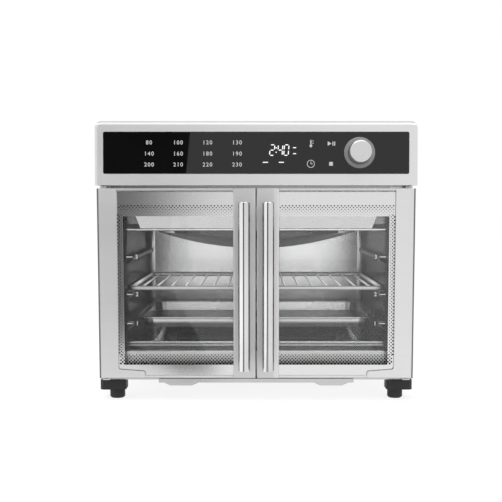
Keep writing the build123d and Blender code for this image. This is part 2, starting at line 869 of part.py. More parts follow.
def make_display():
    face = Pos(display_x, 0) * Rectangle(display_width, display_height)
    return on_face(face, -board_depth, display_thickness - board_depth)


def make_control_board():
    return on_face(Rectangle(board_width, board_height), -board_depth - board_sheet, -board_depth)


def make_encoder():
    """The rotary encoder on the board, with its round neck behind the panel."""
    neck_end = panel_proud - panel_thickness - seat_gap
    body = Rectangle(encoder_width, encoder_width)
    encoder = along_z(body, (-board_depth, encoder_height - board_depth))
    encoder += along_z(Circle(encoder_neck_diameter / 2), (-board_depth, neck_end))
    encoder -= along_z(Circle(knob_shaft_diameter / 2 + running_fit), (-board_depth + board_sheet, neck_end))
    return face_plane * (Pos(knob_x, 0) * encoder)


def make_knob_ring():
    ring = along_z(Circle(ring_outer_diameter / 2), (panel_proud, panel_proud + ring_height))
    ring = chamfer(ring.edges().group_by(Axis.Z)[-1], ring_edge)
    ring -= along_z(Circle(ring_inner_diameter / 2), (panel_proud, panel_proud + ring_height))
    return face_plane * (Pos(knob_x, 0) * ring)


def make_knob():
    low = panel_proud + knob_lift
    radius = knob_diameter / 2
    body = Cone(radius, radius - knob_taper, knob_length, align=(Align.CENTER, Align.CENTER, Align.MIN))
    body = chamfer(body.edges().group_by(Axis.Z)[-1], knob_edge)
    body -= along_z(Circle(knob_shaft_diameter / 2 + slip_fit), (0, knob_bore_depth))
    return face_plane * (Pos(knob_x, 0, low) * body)


def make_knob_shaft():
    start = -board_depth + board_sheet + seat_gap
    end = panel_proud + knob_lift + knob_bore_depth - seat_gap
    return on_face(Pos(knob_x, 0) * Circle(knob_shaft_diameter / 2), start, end)


# Right door: the left one is its mirror image
door_edge = doors_width / 2
stile_inner = door_edge - hinge_stile_width
centre_outer = door_gap / 2 + centre_stile_width
glass_span = (front + glass_setback, front + glass_setback + glass_thickness)


def hinge_section(inset, inner_x):
    """Square at the front, and round at the back about the hinge axis so that the door can turn."""
    radius = door_thickness / 2 - inset
    straight = Pos((inner_x + hinge_x) / 2, hinge_y) * Rectangle(hinge_x - inner_x, 2 * radius)
    square = Pos(hinge_x + radius / 2, hinge_y - radius / 2) * Rectangle(radius, radius)
    edge = square.vertices().sort_by_distance((hinge_x + radius, hinge_y - radius, 0))[0]
    square = fillet(edge, max(stile_corner - inset, slip_fit))
    return straight + Pos(hinge_x, hinge_y) * Circle(radius) + square


def glass_slot(x_span):
    """The groove that the pane slides into."""
    return block(x_span, (glass_span[0] - slip_fit, glass_span[1] + slip_fit),
                 (door_bottom + stile_wall, door_top - stile_wall))


def make_hinge_stile():
    section = hinge_section(0, stile_inner) - hinge_section(stile_wall, stile_inner + stile_wall)
    stile = along_z(section, (door_bottom, door_top))
    tip = door_edge - stile_foot_reach
    crook = door_bottom + stile_foot_rise
    face = outline([(stile_inner + stile_wall, door_bottom), (tip, door_bottom),
                    (tip, door_bottom + stile_foot_end), (stile_inner, crook),
                    (stile_inner, crook + 2 * stile_foot_radius),
                    (stile_inner + stile_wall, crook + 2 * stile_foot_radius)])
    bends = [face.vertices().sort_by_distance(place)[0]
             for place in ((tip, door_bottom + stile_foot_end, 0), (stile_inner, crook, 0))]
    face = fillet(bends, stile_foot_radius)
    foot = along_y(face, (front, front + stile_wall))
    return stile + foot - glass_slot((stile_inner - stile_wall, stile_inner + 2 * stile_wall))


def make_hinge_bushes():
    section = hinge_section(stile_wall + slip_fit, stile_inner + glass_grip + seat_gap)
    section -= Pos(hinge_x, hinge_y) * Circle(pin_diameter / 2 + running_fit)
    lower = along_z(section, (door_bottom, door_bottom + bush_length))
    upper = along_z(section, (door_top - bush_length, door_top))
    return Compound(children=[lower, upper])


def make_centre_stile():
    middle = Pos(door_gap / 2 + centre_stile_width / 2, hinge_y)
    outer = RectangleRounded(centre_stile_width, door_thickness, stile_corner)
    inner = Rectangle(centre_stile_width - 2 * stile_wall, door_thickness - 2 * stile_wall)
    stile = along_z(middle * outer, (door_bottom, door_top))
    stile -= along_z(middle * inner, (door_bottom + stile_wall, door_top - stile_wall))
    return stile - glass_slot((centre_outer - 2 * stile_wall, centre_outer + stile_wall))


def make_trim(low, high, mouth_up):
    """A grooved strip along the top or bottom edge of the pane."""
    strip = block((centre_outer + slip_fit, stile_inner - slip_fit),
                  (front + stile_wall + slip_fit, door_back), (low, high))
    groove_z = (high - trim_grip - slip_fit, high) if mouth_up else (low, low + trim_grip + slip_fit)
    groove_y = (glass_span[0] - slip_fit, glass_span[1] + slip_fit)
    groove = block((centre_outer, stile_inner), groove_y, groove_z)
    return strip - groove


def make_top_trim():
    return make_trim(door_top - trim_height, door_top, False)


def make_bottom_trim():
    return make_trim(door_bottom, door_bottom + trim_height, True)


def make_glass():
    edge = trim_height - trim_grip
    return block((centre_outer - glass_grip, stile_inner + glass_grip), glass_span,
                 (door_bottom + edge, door_top - edge))


def make_handle():
    end = handle_start + handle_length
    y = front - handle_reach
    handle = rod((handle_offset, y, handle_start), (handle_offset, y, end), handle_radius)
    return chamfer(handle.edges().filter_by(GeomType.CIRCLE), handle_chamfer)


def make_handle_posts():
    y = front - handle_reach
    bar = rod((handle_offset, y, 0), (handle_offset, y, cover_top), handle_radius + running_fit)
    ends = (handle_start + post_inset, handle_start + handle_length - post_inset)
    posts = [rod((handle_offset, front, z), (handle_offset, y, z), post_diameter / 2) - bar for z in ends]
    return Compound(children=[post.solids()[0] for post in posts])


def make_strike():
    x = (magnet_offset - magnet_width / 2, magnet_offset + magnet_width / 2)
    middle = door_top - magnet_drop
    return block(x, (door_back, door_back + strike_sheet),
                 (middle - magnet_height / 2, middle + magnet_height / 2))


# Hinges and catches on the frame
def make_hinge_brackets():
    """Plates over and under the door corners, each with a wing and a tab on the front frame."""
    reach = hinge_x - bracket_reach
    wing = (reach, hinge_x + bracket_width / 2)
    tab = (reach, reach + bracket_width)
    nose = Pos(hinge_x, hinge_y) * Circle(bracket_width / 2)
    deck = Pos(hinge_x, (hinge_y + frame_front) / 2) * Rectangle(bracket_width, frame_front - hinge_y)
    plate = nose + deck - Pos(hinge_x, hinge_y) * Circle(pin_diameter / 2 + slip_fit)
    tab_y = (frame_front - bracket_sheet, frame_front)
    top = door_top + bracket_gap
    upper = along_z(plate, (top, top + bracket_sheet))
    upper += block(wing, tab_y, (top, top + bracket_sheet))
    upper += block(tab, tab_y, (top + bracket_sheet - bracket_flange, top + bracket_sheet))
    low = door_bottom - bracket_gap
    lower = along_z(plate, (low - bracket_sheet, low))
    lower += block(wing, tab_y, (low - bracket_sheet, low))
    lower += block(tab, tab_y, (low - bracket_sheet, low - bracket_sheet + bracket_flange))
    return both_sides(Compound(children=[upper, lower]))


def make_hinge_pins():
    radius = pin_diameter / 2
    top = door_top + bracket_gap + bracket_sheet
    low = door_bottom - bracket_gap - bracket_sheet
    upper = rod((hinge_x, hinge_y, door_top - pin_grip), (hinge_x, hinge_y, top), radius)
    lower = rod((hinge_x, hinge_y, low), (hinge_x, hinge_y, door_bottom + pin_grip), radius)
    return both_sides(Compound(children=[upper, lower]))


def make_door_magnets():
    x = (magnet_offset - magnet_width / 2, magnet_offset + magnet_width / 2)
    middle = door_top - magnet_drop
    start = frame_front - magnet_proud
    return both_sides(block(x, (start, start + magnet_body),
                            (middle - magnet_height / 2, middle + magnet_height / 2)))


# Rack, pan and crumb tray
def make_wire_rack():
    """A frame of stout rods, wires from front to back between them and crossbars under the wires."""
    radius = rack_rod_diameter / 2
    z = rail_tops[1] + seat_gap + radius
    low = front + rack_front + radius
    high = low + rack_depth - rack_rod_diameter
    side = rack_width / 2 - radius
    rack = prism((-side - radius, low, z), (side + radius, low, z), radius, rack_sides)
    rack += prism((-side - radius, high, z), (side + radius, high, z), radius, rack_sides)
    for x in (-side, side):
        rack += prism((x, low, z), (x, high, z), radius, rack_sides)
    wire = rack_wire_diameter / 2
    half_count = int((side - radius) // rack_pitch)
    for index in range(-half_count, half_count + 1):
        rack += prism((index * rack_pitch, low, z), (index * rack_pitch, high, z), wire, rack_sides)
    for index in range(rack_crossbars):
        y = low + (high - low) * (index + 1) / (rack_crossbars + 1)
        rack += prism((-side, y, z - wire), (side, y, z - wire), wire, rack_sides)
    return rack


def make_baking_pan():
    bead_z = rail_tops[0] + seat_gap + pan_bead
    top = bead_z + pan_bead
    middle = front + pan_front + pan_depth / 2
    tub = (pan_width - 2 * pan_rim, pan_depth - 2 * pan_rim)
    tub_corner = pan_corner - pan_rim

    def tub_solid(inset, low, high):
        upper = soft_corners(tub[0] - 2 * inset, tub[1] - 2 * inset, tub_corner - inset)
        shrink = 2 * (inset + pan_draft)
        lower = soft_corners(tub[0] - shrink, tub[1] - shrink, tub_corner - inset)
        return loft([Pos(0, middle, low) * lower, Pos(0, middle, high) * upper], ruled=True)

    def rim_solid(inset, low, high):
        face = soft_corners(pan_width - 2 * inset, pan_depth - 2 * inset, pan_corner - inset)
        return along_z(Pos(0, middle) * face, (low, high))

    bead = rim_solid(0, bead_z - pan_bead, top)
    bead = chamfer(bead.edges().group_by(Axis.Z)[0] + bead.edges().group_by(Axis.Z)[-1], pan_bead_edge)
    bead -= rim_solid(2 * pan_bead, bead_z - pan_bead, top)
    sheet_low = bead_z - pan_sheet / 2
    pan = bead + rim_solid(pan_bead, sheet_low, sheet_low + pan_sheet)
    pan += tub_solid(0, top - pan_height, bead_z)
    return pan - tub_solid(pan_sheet, top - pan_height + pan_sheet, bead_z + pan_sheet)


def make_crumb_tray():
    start = front + tray_setback
    low = base_top + seat_gap
    half = tray_width / 2
    path = [(-half, low + tray_wall), (-half, low), (half, low), (half, low + tray_wall)]
    tray = along_y(folded(path, tray_sheet), (start, start + tray_depth))
    back = (start + tray_depth - tray_sheet, start + tray_depth)
    tray += block((-half, half), back, (low, low + tray_wall))
    top = door_bottom - bracket_gap
    lip_top = tray_flange_bottom
    face = Pos(0, (lip_top + top) / 2) * Rectangle(tray_width, top - lip_top)
    for side in (-1, 1):
        x = side * lip_spread / 2
        face += outline([(x - lip_width / 2, lip_top), (x + lip_width / 2, lip_top),
                         (x + lip_narrow / 2, lip_top - lip_drop), (x - lip_narrow / 2, lip_top - lip_drop)])
    return tray + along_y(face, (start - tray_flange_sheet, start))


def make_tray_runners():
    """Angles on the base that guide the tray's sides and hold them down."""
    inner = tray_width / 2 + seat_gap
    path = [(inner + runner_sheet - runner_width, base_top + runner_height),
            (inner + runner_sheet, base_top + runner_height), (inner + runner_sheet, base_top)]
    runner = along_y(folded(path[::-1], runner_sheet), (frame_back + wall_flange, front + tray_depth))
    return both_sides(runner)


# Every node and what it is made of
nodes = {
    "base_pan": make_base_pan(),
    "outer_cover": make_outer_cover(),
    "rear_panel": make_rear_panel(),
    "cord_inlet": make_cord_inlet(),
    "shell_screws": make_shell_screws(),
    "feet": make_feet(),
    "front_frame": make_front_frame(),
    "header_hood": make_header_hood(),
    "sill": make_sill(),
    "cavity_left_wall": mirrored(make_right_wall()),
    "cavity_right_wall": make_right_wall(),
    "cavity_back_wall": make_back_wall(),
    "cavity_ceiling": make_ceiling(),
    "cavity_floor": make_floor(),
    "lower_heaters": make_lower_heaters(),
    "heater_bushes": make_heater_bushes(),
    "ring_heater": make_ring_heater(),
    "fan_guard": make_fan_guard(),
    "fan_impeller": make_fan(),
    "fan_shaft": make_fan_shaft(),
    "fan_motor": make_fan_motor(),
    "motor_bracket": make_motor_bracket(),
    "power_board": make_power_board(),
    "fascia": make_fascia(),
    "control_panel": make_control_panel(),
    "display_module": make_display(),
    "control_board": make_control_board(),
    "knob_encoder": make_encoder(),
    "knob_ring": make_knob_ring(),
    "knob": make_knob(),
    "knob_shaft": make_knob_shaft(),
    "hinge_brackets": make_hinge_brackets(),
    "hinge_pins": make_hinge_pins(),
    "door_magnets": make_door_magnets(),
    "wire_rack": make_wire_rack(),
    "baking_pan": make_baking_pan(),
    "crumb_tray": make_crumb_tray(),
    "tray_runners": make_tray_runners(),
}
door_pieces = {
    "hinge_stile": make_hinge_stile,
    "hinge_bushes": make_hinge_bushes,
    "centre_stile": make_centre_stile,
    "top_trim": make_top_trim,
    "bottom_trim": make_bottom_trim,
    "glass": make_glass,
    "handle": make_handle,
    "handle_posts": make_handle_posts,
    "strike": make_strike,
}
for piece, make in door_pieces.items():
    right = make()
    nodes["right_door_" + piece] = right
    nodes["left_door_" + piece] = mirrored(right)

os.makedirs("parts", exist_ok=True)
for name, shape in nodes.items():
    export_step(shape, os.path.join("parts", name + ".step"))
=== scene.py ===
import json
import math

import bmesh
import bpy
from mathutils import Matrix, Vector


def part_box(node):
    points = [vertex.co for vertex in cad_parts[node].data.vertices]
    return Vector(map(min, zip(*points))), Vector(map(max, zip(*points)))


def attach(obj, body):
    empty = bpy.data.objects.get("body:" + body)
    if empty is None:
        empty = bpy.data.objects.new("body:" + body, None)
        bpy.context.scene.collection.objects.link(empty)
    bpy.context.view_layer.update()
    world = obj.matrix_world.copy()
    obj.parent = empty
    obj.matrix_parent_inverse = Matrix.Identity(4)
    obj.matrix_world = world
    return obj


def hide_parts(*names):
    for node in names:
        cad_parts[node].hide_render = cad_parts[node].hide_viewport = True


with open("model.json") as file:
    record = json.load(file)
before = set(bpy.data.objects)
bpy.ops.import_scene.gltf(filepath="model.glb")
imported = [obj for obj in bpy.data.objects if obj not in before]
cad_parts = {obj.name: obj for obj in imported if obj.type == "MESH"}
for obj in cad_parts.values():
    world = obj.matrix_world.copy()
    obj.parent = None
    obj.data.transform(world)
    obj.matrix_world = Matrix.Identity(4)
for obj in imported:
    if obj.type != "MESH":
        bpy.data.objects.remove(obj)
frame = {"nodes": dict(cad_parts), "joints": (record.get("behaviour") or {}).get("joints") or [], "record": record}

MM = 0.001
X_AXIS = Vector((1, 0, 0))
Y_AXIS = Vector((0, 1, 0))
Z_AXIS = Vector((0, 0, 1))
nodes = frame["nodes"]
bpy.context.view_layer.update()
scene = bpy.context.scene
scene.view_settings.view_transform = "Standard"

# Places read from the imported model
door_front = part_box("left_door_centre_stile")[0].y
glass_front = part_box("right_door_glass")[0].y
joints = {joint["name"]: joint for joint in frame["joints"]}
dial = joints["knob_turn"]
face_normal = Vector(dial["axis"])
face_up = face_normal.cross(X_AXIS)
dial_place = Vector(dial["pos_m"])
panel_middle = Vector((0, dial_place.y, dial_place.z))

# Camera: the photograph's view, from a little above the middle of the doors
FRAME_PX = 502
FOCAL_PX = 1000
SENSOR_MM = 36
VIEW_DISTANCE = 1.3545
EYE_HEIGHT = 0.2684
LOOK_DOWN = math.radians(6)
CENTRE_COLUMN_PX = 256.2
AXIS_ROW_PX = 310


def make_camera():
    data = bpy.data.cameras.new("camera")
    data.sensor_width = SENSOR_MM
    data.lens = FOCAL_PX / FRAME_PX * SENSOR_MM
    data.shift_x = (FRAME_PX / 2 - CENTRE_COLUMN_PX) / FRAME_PX
    data.shift_y = (AXIS_ROW_PX - FRAME_PX / 2) / FRAME_PX
    camera = bpy.data.objects.new("camera", data)
    camera.location = (0, door_front - VIEW_DISTANCE, EYE_HEIGHT)
    camera.rotation_euler = (math.pi / 2 - LOOK_DOWN, 0, 0)
    scene.collection.objects.link(camera)
    scene.camera = camera


# Node building
def add_node(tree, kind, links=None, **settings):
    """A node with its plain settings, its socket values and its links by socket name or number."""
    node = tree.nodes.new(kind)
    for name, value in settings.items():
        setattr(node, name, value)
    for socket, source in (links or {}).items():
        if isinstance(source, bpy.types.NodeSocket):
            tree.links.new(source, node.inputs[socket])
        else:
            node.inputs[socket].default_value = source
    return node


def add_math(tree, operation, first, second=0.0):
    return add_node(tree, "ShaderNodeMath", {0: first, 1: second}, operation=operation).outputs[0]


def multiply(tree, first, second):
    return add_math(tree, "MULTIPLY", first, second)


def larger(tree, first, second):
    return add_math(tree, "MAXIMUM", first, second)


def add_shares(tree, first, second, first_share):
    """The sum of two masks, of which the first has a given share."""
    return add_math(tree, "ADD", multiply(tree, first, first_share), multiply(tree, second, 1 - first_share))


def split(tree, vector):
    """The X, Y and Z of a place or a direction."""
    return add_node(tree, "ShaderNodeSeparateXYZ", {0: vector}).outputs


def add_range(tree, value, low, high, start=0.0, end=1.0):
    """Goes from low to high as a value goes from start to end."""
    links = {"Value": value, "From Min": start, "From Max": end, "To Min": low, "To Max": high}
    return add_node(tree, "ShaderNodeMapRange", links).outputs[0]


def add_band(tree, value, low, high, blur):
    """1 between two limits and 0 outside them."""
    return multiply(tree, add_range(tree, value, 0.0, 1.0, low, low + blur),
                    add_range(tree, value, 1.0, 0.0, high - blur, high))


def add_spread(tree, mask, middle, spread):
    """Varies about a middle value as a mask does."""
    return add_range(tree, mask, middle - spread, middle + spread)


def add_mix(tree, factor, first, second):
    """A mix of two colours; the node's colour sockets are its numbers 6 and 7."""
    return add_node(tree, "ShaderNodeMix", {0: factor, 6: first, 7: second}, data_type="RGBA").outputs[2]


def add_noise(tree, place, **values):
    return add_node(tree, "ShaderNodeTexNoise", {"Vector": place, **values}).outputs[0]


def grey(value):
    return (value, value, value, 1)


BLACK = grey(0.0)
WHITE = grey(1.0)


def new_group(name, inputs, outputs, family="Shader"):
    """An empty shader or geometry group with named sockets, and the sockets inside it."""
    tree = bpy.data.node_groups.new(name, family + "NodeTree")
    for way, sockets in (("INPUT", inputs), ("OUTPUT", outputs)):
        for label, kind in sockets.items():
            tree.interface.new_socket(label, in_out=way, socket_type="NodeSocket" + kind)
    return tree, tree.nodes.new("NodeGroupInput").outputs, tree.nodes.new("NodeGroupOutput").inputs


FINE_STREAKS = 0.7
WIDE_STREAK_SCALE = 0.13
SMEARS_IN_PATCH = 7.0
PATCH_LIMITS = (0.42, 0.72)
EDGE_LIMITS = (0.7, 0.98)
CRYSTAL_SHARE = 0.4
SPECKS_IN_CELL = 14.0


def brushed_grain_group():
    """Long fine scratches: noise that is drawn out along one axis, in two sizes."""
    inputs = {"Vector": "Vector", "Stretch": "Vector"}
    tree, given, result = new_group("brushed_grain", inputs, {"Streaks": "Float"})
    drawn = add_node(tree, "ShaderNodeVectorMath", {0: given["Vector"], 1: given["Stretch"]},
                     operation="MULTIPLY").outputs[0]
    fine = add_noise(tree, drawn, Scale=1.0, Detail=3.0, Roughness=0.7)
    wide = add_noise(tree, drawn, Scale=WIDE_STREAK_SCALE, Detail=2.0)
    tree.links.new(add_shares(tree, fine, wide, FINE_STREAKS), result["Streaks"])
    return tree


def handling_group():
    """Where hands and cloths have been: soft patches with finer smears inside them."""
    inputs = {"Vector": "Vector", "Patch Scale": "Float"}
    tree, given, result = new_group("handling", inputs, {"Smear": "Float"})
    place, scale = given["Vector"], given["Patch Scale"]
    patch = add_noise(tree, place, Scale=scale, Detail=4.0, Distortion=0.6)
    smear_scale = multiply(tree, scale, SMEARS_IN_PATCH)
    smear = add_noise(tree, place, Scale=smear_scale, Detail=5.0, Distortion=1.5)
    wear_and_painted_shade = add_range(tree, patch, 0.0, 1.0, *PATCH_LIMITS)
    tree.links.new(multiply(tree, wear_and_painted_shade, smear), result["Smear"])
    return tree


def soft_edge_group():
    """A rounded normal along sharp edges, and a mask of those edges."""
    tree, given, result = new_group("soft_edge", {"Radius": "Float"}, {"Normal": "Vector", "Edge": "Float"})
    bevel = add_node(tree, "ShaderNodeBevel", {"Radius": given["Radius"]}, samples=4).outputs[0]
    plain = add_node(tree, "ShaderNodeNewGeometry").outputs["Normal"]
    along = add_node(tree, "ShaderNodeVectorMath", {0: bevel, 1: plain}, operation="DOT_PRODUCT")
    edge = add_range(tree, along.outputs["Value"], 1.0, 0.0, *EDGE_LIMITS)
    tree.links.new(bevel, result["Normal"])
    tree.links.new(edge, result["Edge"])
    return tree


def mottle_group():
    """The cloudy, crystalline tone of coated sheet metal and castings."""
    inputs = {"Vector": "Vector", "Scale": "Float"}
    tree, given, result = new_group("mottle", inputs, {"Tone": "Float", "Speck": "Float"})
    place, scale = given["Vector"], given["Scale"]
    cells = add_node(tree, "ShaderNodeTexVoronoi", {"Vector": place, "Scale": scale}).outputs["Color"]
    cell_tone = add_node(tree, "ShaderNodeSeparateColor", {0: cells}).outputs[0]
    cloud = add_noise(tree, place, Scale=scale, Detail=4.0)
    speck = add_noise(tree, place, Scale=multiply(tree, scale, SPECKS_IN_CELL), Detail=2.0)
    tree.links.new(add_shares(tree, cell_tone, cloud, CRYSTAL_SHARE), result["Tone"])
    tree.links.new(speck, result["Speck"])
    return tree


GRAIN = brushed_grain_group()
HANDLING = handling_group()
SOFT_EDGE = soft_edge_group()
MOTTLE = mottle_group()


def add_group(tree, group, **values):
    """Places a group in a material, with its inputs given by their labels (spaces as underscores)."""
    links = {label.replace("_", " "): value for label, value in values.items()}
    return add_node(tree, "ShaderNodeGroup", links, node_tree=group).outputs


def add_smear(tree, place, patch_scale):
    return add_group(tree, HANDLING, Vector=place, Patch_Scale=patch_scale)["Smear"]


def new_material(name, **plain):
    """A material with its shader's plain values set, and its object coordinates."""
    material = bpy.data.materials.new(name)
    material.use_nodes = True
    tree = material.node_tree
    shader = tree.nodes["Principled BSDF"]
    for label, value in plain.items():
        shader.inputs[label.replace("_", " ")].default_value = value
    place = add_node(tree, "ShaderNodeTexCoord").outputs["Object"]
    return material, tree, shader, place


def feed(tree, shader, **sources):
    """Links values that change over the surface into the shader."""
    for label, source in sources.items():
        tree.links.new(source, shader.inputs[label.replace("_", " ")])


def add_bump(tree, height, strength, distance, normal):
    links = {"Height": height, "Strength": strength, "Distance": distance, "Normal": normal}
    return add_node(tree, "ShaderNodeBump", links).outputs[0]


# Painted shade and painted highlights: where a finish is darker or brighter than its own tone
FRONT_LIMITS = (-0.6, -0.3)
HANDLE_SIDES = (-33 * MM, 25 * MM)
HANDLE_SIDES_BLUR = 2 * MM
HANDLE_SIDES_SHADE = 0.12
STILE_ROLL = (-2.8 * MM, -2.1 * MM)
STILE_ROLL_SHADE = 0.78
FOOT_ROLL = (0.6 * MM, 1.0 * MM)
FOOT_ROLL_SHADE = 0.6
TRIM_LINE = (-0.5 * MM, 1.8 * MM)
TRIM_LINE_BLUR = 0.4 * MM
TRIM_LINE_SHADE = 0.35
TRIM_END_BLUR = 0.1 * MM
FASCIA_ROLL = (-2.9 * MM, -2.4 * MM)
FASCIA_ROLL_SHADE = 0.4
FLAT_TOP_LIMITS = (0.94, 0.99)
GLINT_LINE = (-5.5 * MM, -2.5 * MM)
GLINT_BLUR = 0.4 * MM
WALL_TOP = (232 * MM, 238 * MM)
WALL_FRONT = (24 * MM, 38 * MM)
WALL_SHADE = 0.6
FRAME_TOP = (280 * MM, 284 * MM)
FRAME_SHADE = 0.28
BACK_CORNER = (102 * MM, 162 * MM)
BACK_CORNER_END = (168 * MM, 173 * MM)
BACK_CORNER_SHADE = 0.48
BACK_DEPTH = (0.0, 60 * MM)
ROD_EDGE = (-0.8, -0.12)
ROD_EDGE_BLUR = 0.1
ROD_EDGE_SHADE = 0.6
# Painted shade on the pan, and a painted dark line along the front of its rim
PAN_UPWARD = (0.6, 0.9)
PAN_FRONT = (15 * MM, 25 * MM)
PAN_RIM = (-10 * MM, -6 * MM)
PAN_SHADE = 0.9
PAN_DARK_LINE_DROP = 3 * MM
PAN_DARK_LINE = (0.6 * MM, 1.3 * MM)
PAN_DARK_LINE_SHADE = 0.6


def own_normal(tree):
    """The X, Y and Z of the surface's direction in the object's own frame."""
    return split(tree, add_node(tree, "ShaderNodeTexCoord").outputs["Normal"])


def facing_front(tree):
    """1 where a surface faces the front."""
    return add_range(tree, own_normal(tree)["Y"], 1.0, 0.0, *FRONT_LIMITS)


def from_level(level, steps):
    return [level + step for step in steps]


def door_shading(tree, place):
    """Painted shade: a little darker beside the handles, and dark along the rolled edges of the doors' front."""
    spot = split(tree, place)
    aside = add_math(tree, "ABSOLUTE", spot["X"])
    low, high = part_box("right_door_hinge_stile")
    trim_low, trim_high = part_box("right_door_top_trim")
    beside = add_band(tree, spot["X"], *HANDLE_SIDES, HANDLE_SIDES_BLUR)
    outer_edge = add_range(tree, aside, 0.0, STILE_ROLL_SHADE, *from_level(high.x, STILE_ROLL))
    foot_edge = add_range(tree, spot["Z"], FOOT_ROLL_SHADE, 0.0, *from_level(low.z, FOOT_ROLL))
    trim_line = multiply(tree, add_band(tree, aside, trim_low.x, trim_high.x, TRIM_END_BLUR),
                         add_band(tree, spot["Z"], *from_level(trim_low.z, TRIM_LINE), TRIM_LINE_BLUR))
    edges = larger(tree, larger(tree, outer_edge, foot_edge), multiply(tree, trim_line, TRIM_LINE_SHADE))
    return larger(tree, multiply(tree, beside, HANDLE_SIDES_SHADE), multiply(tree, edges, facing_front(tree)))


def fascia_shading(tree, place):
    """Painted shade: the fascia's rolled top edge is darker than its front, but not its flat top."""
    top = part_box("fascia")[1].z
    rolled = add_range(tree, own_normal(tree)["Z"], 1.0, 0.0, *FLAT_TOP_LIMITS)
    near_top = add_range(tree, split(tree, place)["Z"], 0.0, FASCIA_ROLL_SHADE, *from_level(top, FASCIA_ROLL))
    return multiply(tree, near_top, rolled)


def fascia_glint(tree, place):
    """A painted highlight: a bright line along the fascia's front, just under its rolled top edge."""
    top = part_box("fascia")[1].z
    line = add_band(tree, split(tree, place)["Z"], *from_level(top, GLINT_LINE), GLINT_BLUR)
    return multiply(tree, line, facing_front(tree))


def wall_shading(tree, place):
    """Painted shade: side walls darken behind the front frame, and at the top, where they turn to the ceiling."""
    spot = split(tree, place)
    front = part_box("cavity_left_wall")[0].y
    return larger(tree, add_range(tree, spot["Z"], 0.0, WALL_SHADE, *WALL_TOP),
                  add_range(tree, spot["Y"], WALL_SHADE, 0.0, *from_level(front, WALL_FRONT)))


def under_fascia(tree, place):
    """Painted shade: the front frame is darker where it runs up behind the fascia."""
    return add_range(tree, split(tree, place)["Z"], 0.0, FRAME_SHADE, *FRAME_TOP)


def near_side_walls(tree, place):
    """Painted shade: the back wall darkens towards its rounded upright corners."""
    spot = split(tree, place)
    aside = add_math(tree, "ABSOLUTE", spot["X"])
    darker = add_math(tree, "SUBTRACT", add_range(tree, aside, 0.0, BACK_CORNER_SHADE, *BACK_CORNER),
                      add_range(tree, aside, 0.0, BACK_CORNER_SHADE, *BACK_CORNER_END))
    return multiply(tree, darker, add_range(tree, spot["Y"], 0.0, 1.0, *BACK_DEPTH))


def rod_edges(tree, place):
    """Painted shade: the rack's rods across the front and the back are darker along their upper and lower edges.
    """
    return multiply(tree, add_band(tree, own_normal(tree)["Y"], *ROD_EDGE, ROD_EDGE_BLUR), ROD_EDGE_SHADE)


def baked_on(tree, place):
    """Painted shade: a pan darkens on its floor and on its front, but not on its rim or its rear wall, with a dark
    line along its rim's front.
    """
    low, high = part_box("baking_pan")
    spot = split(tree, place)
    normal = add_node(tree, "ShaderNodeNewGeometry").outputs["True Normal"]
    upward = add_range(tree, split(tree, normal)["Z"], 0.0, 1.0, *PAN_UPWARD)
    ahead = add_range(tree, spot["Y"], 1.0, 0.0, *from_level(low.y, PAN_FRONT))
    under_rim = add_range(tree, spot["Z"], 1.0, 0.0, *from_level(high.z, PAN_RIM))
    wear_and_painted_shade = multiply(tree, larger(tree, ahead, upward), under_rim)
    from_dark_line = add_math(tree, "ABSOLUTE", add_math(tree, "SUBTRACT", spot["Z"], high.z - PAN_DARK_LINE_DROP))
    dark_line = multiply(tree, add_range(tree, from_dark_line, PAN_DARK_LINE_SHADE, 0.0, *PAN_DARK_LINE), ahead)
    return larger(tree, multiply(tree, wear_and_painted_shade, PAN_SHADE), dark_line)


# Finishes
ACROSS_X = (12.0, 900.0, 900.0)
BRUSHED_TONES = (0.94, 1.05, 1.1)
STREAK_SPREAD = 0.05
STREAK_SMEAR = 0.12
STREAK_BUMP = 0.08
STREAK_DEPTH = 0.2 * MM
GLINT_TONE = 0.98
# Painted reflections on the handles: band tones and where they fall by the turn of the surface
HANDLE_WHITE = 0.84
HANDLE_GREY = 0.66
HANDLE_BANDS = (-0.16, -0.06)
HANDLE_LINE = (-0.22, 0.06)
HANDLE_LINE_BLUR = 0.06
HANDLE_LINE_SHADE = 0.5
HANDLE_EDGE = (0.8, 0.93)
HANDLE_EDGE_SHADE = 0.72
HANDLE_SMEAR_SHADE = 0.14
HANDLE_ROUGHNESS = (0.1, 0.24)
CLOUD_SPREAD = 0.04
CLOUD_SMEAR = 0.08
SPECK_DEPTH = 0.3 * MM
PLASTIC_WEAR = ((1.8, 0.01), (0.85, 0.02))
PLASTIC_RUBBING = 0.5
PLASTIC_SPREAD = 0.08
PLASTIC_BUMP = 0.25
GLASS_IOR = 1.46
CLEAR_GLASS = (0.985, 0.99, 0.985, 1)
SMEARED_GLASS = (0.972, 0.98, 0.975, 1)
GLASS_ROUGHNESS = (0.0, 0.008)
LIGHT_THROUGH_GLASS = 0.95
RIPPLE = {"Scale": 900.0, "Distortion": 1.5, "Detail": 2.0, "Detail Scale": 2.0}
RIPPLE_ROUGHNESS = (-0.04, 0.06)
RIPPLE_BUMP = 0.05
RIPPLE_DEPTH = 0.1 * MM
FINE_EDGE = 0.4 * MM
SOFT_ROUND = 0.6 * MM


def tones(tone, *parts):
    """Greys that are parts of one tone, up to white."""
    return [grey(min(tone * part, 1.0)) for part in parts]


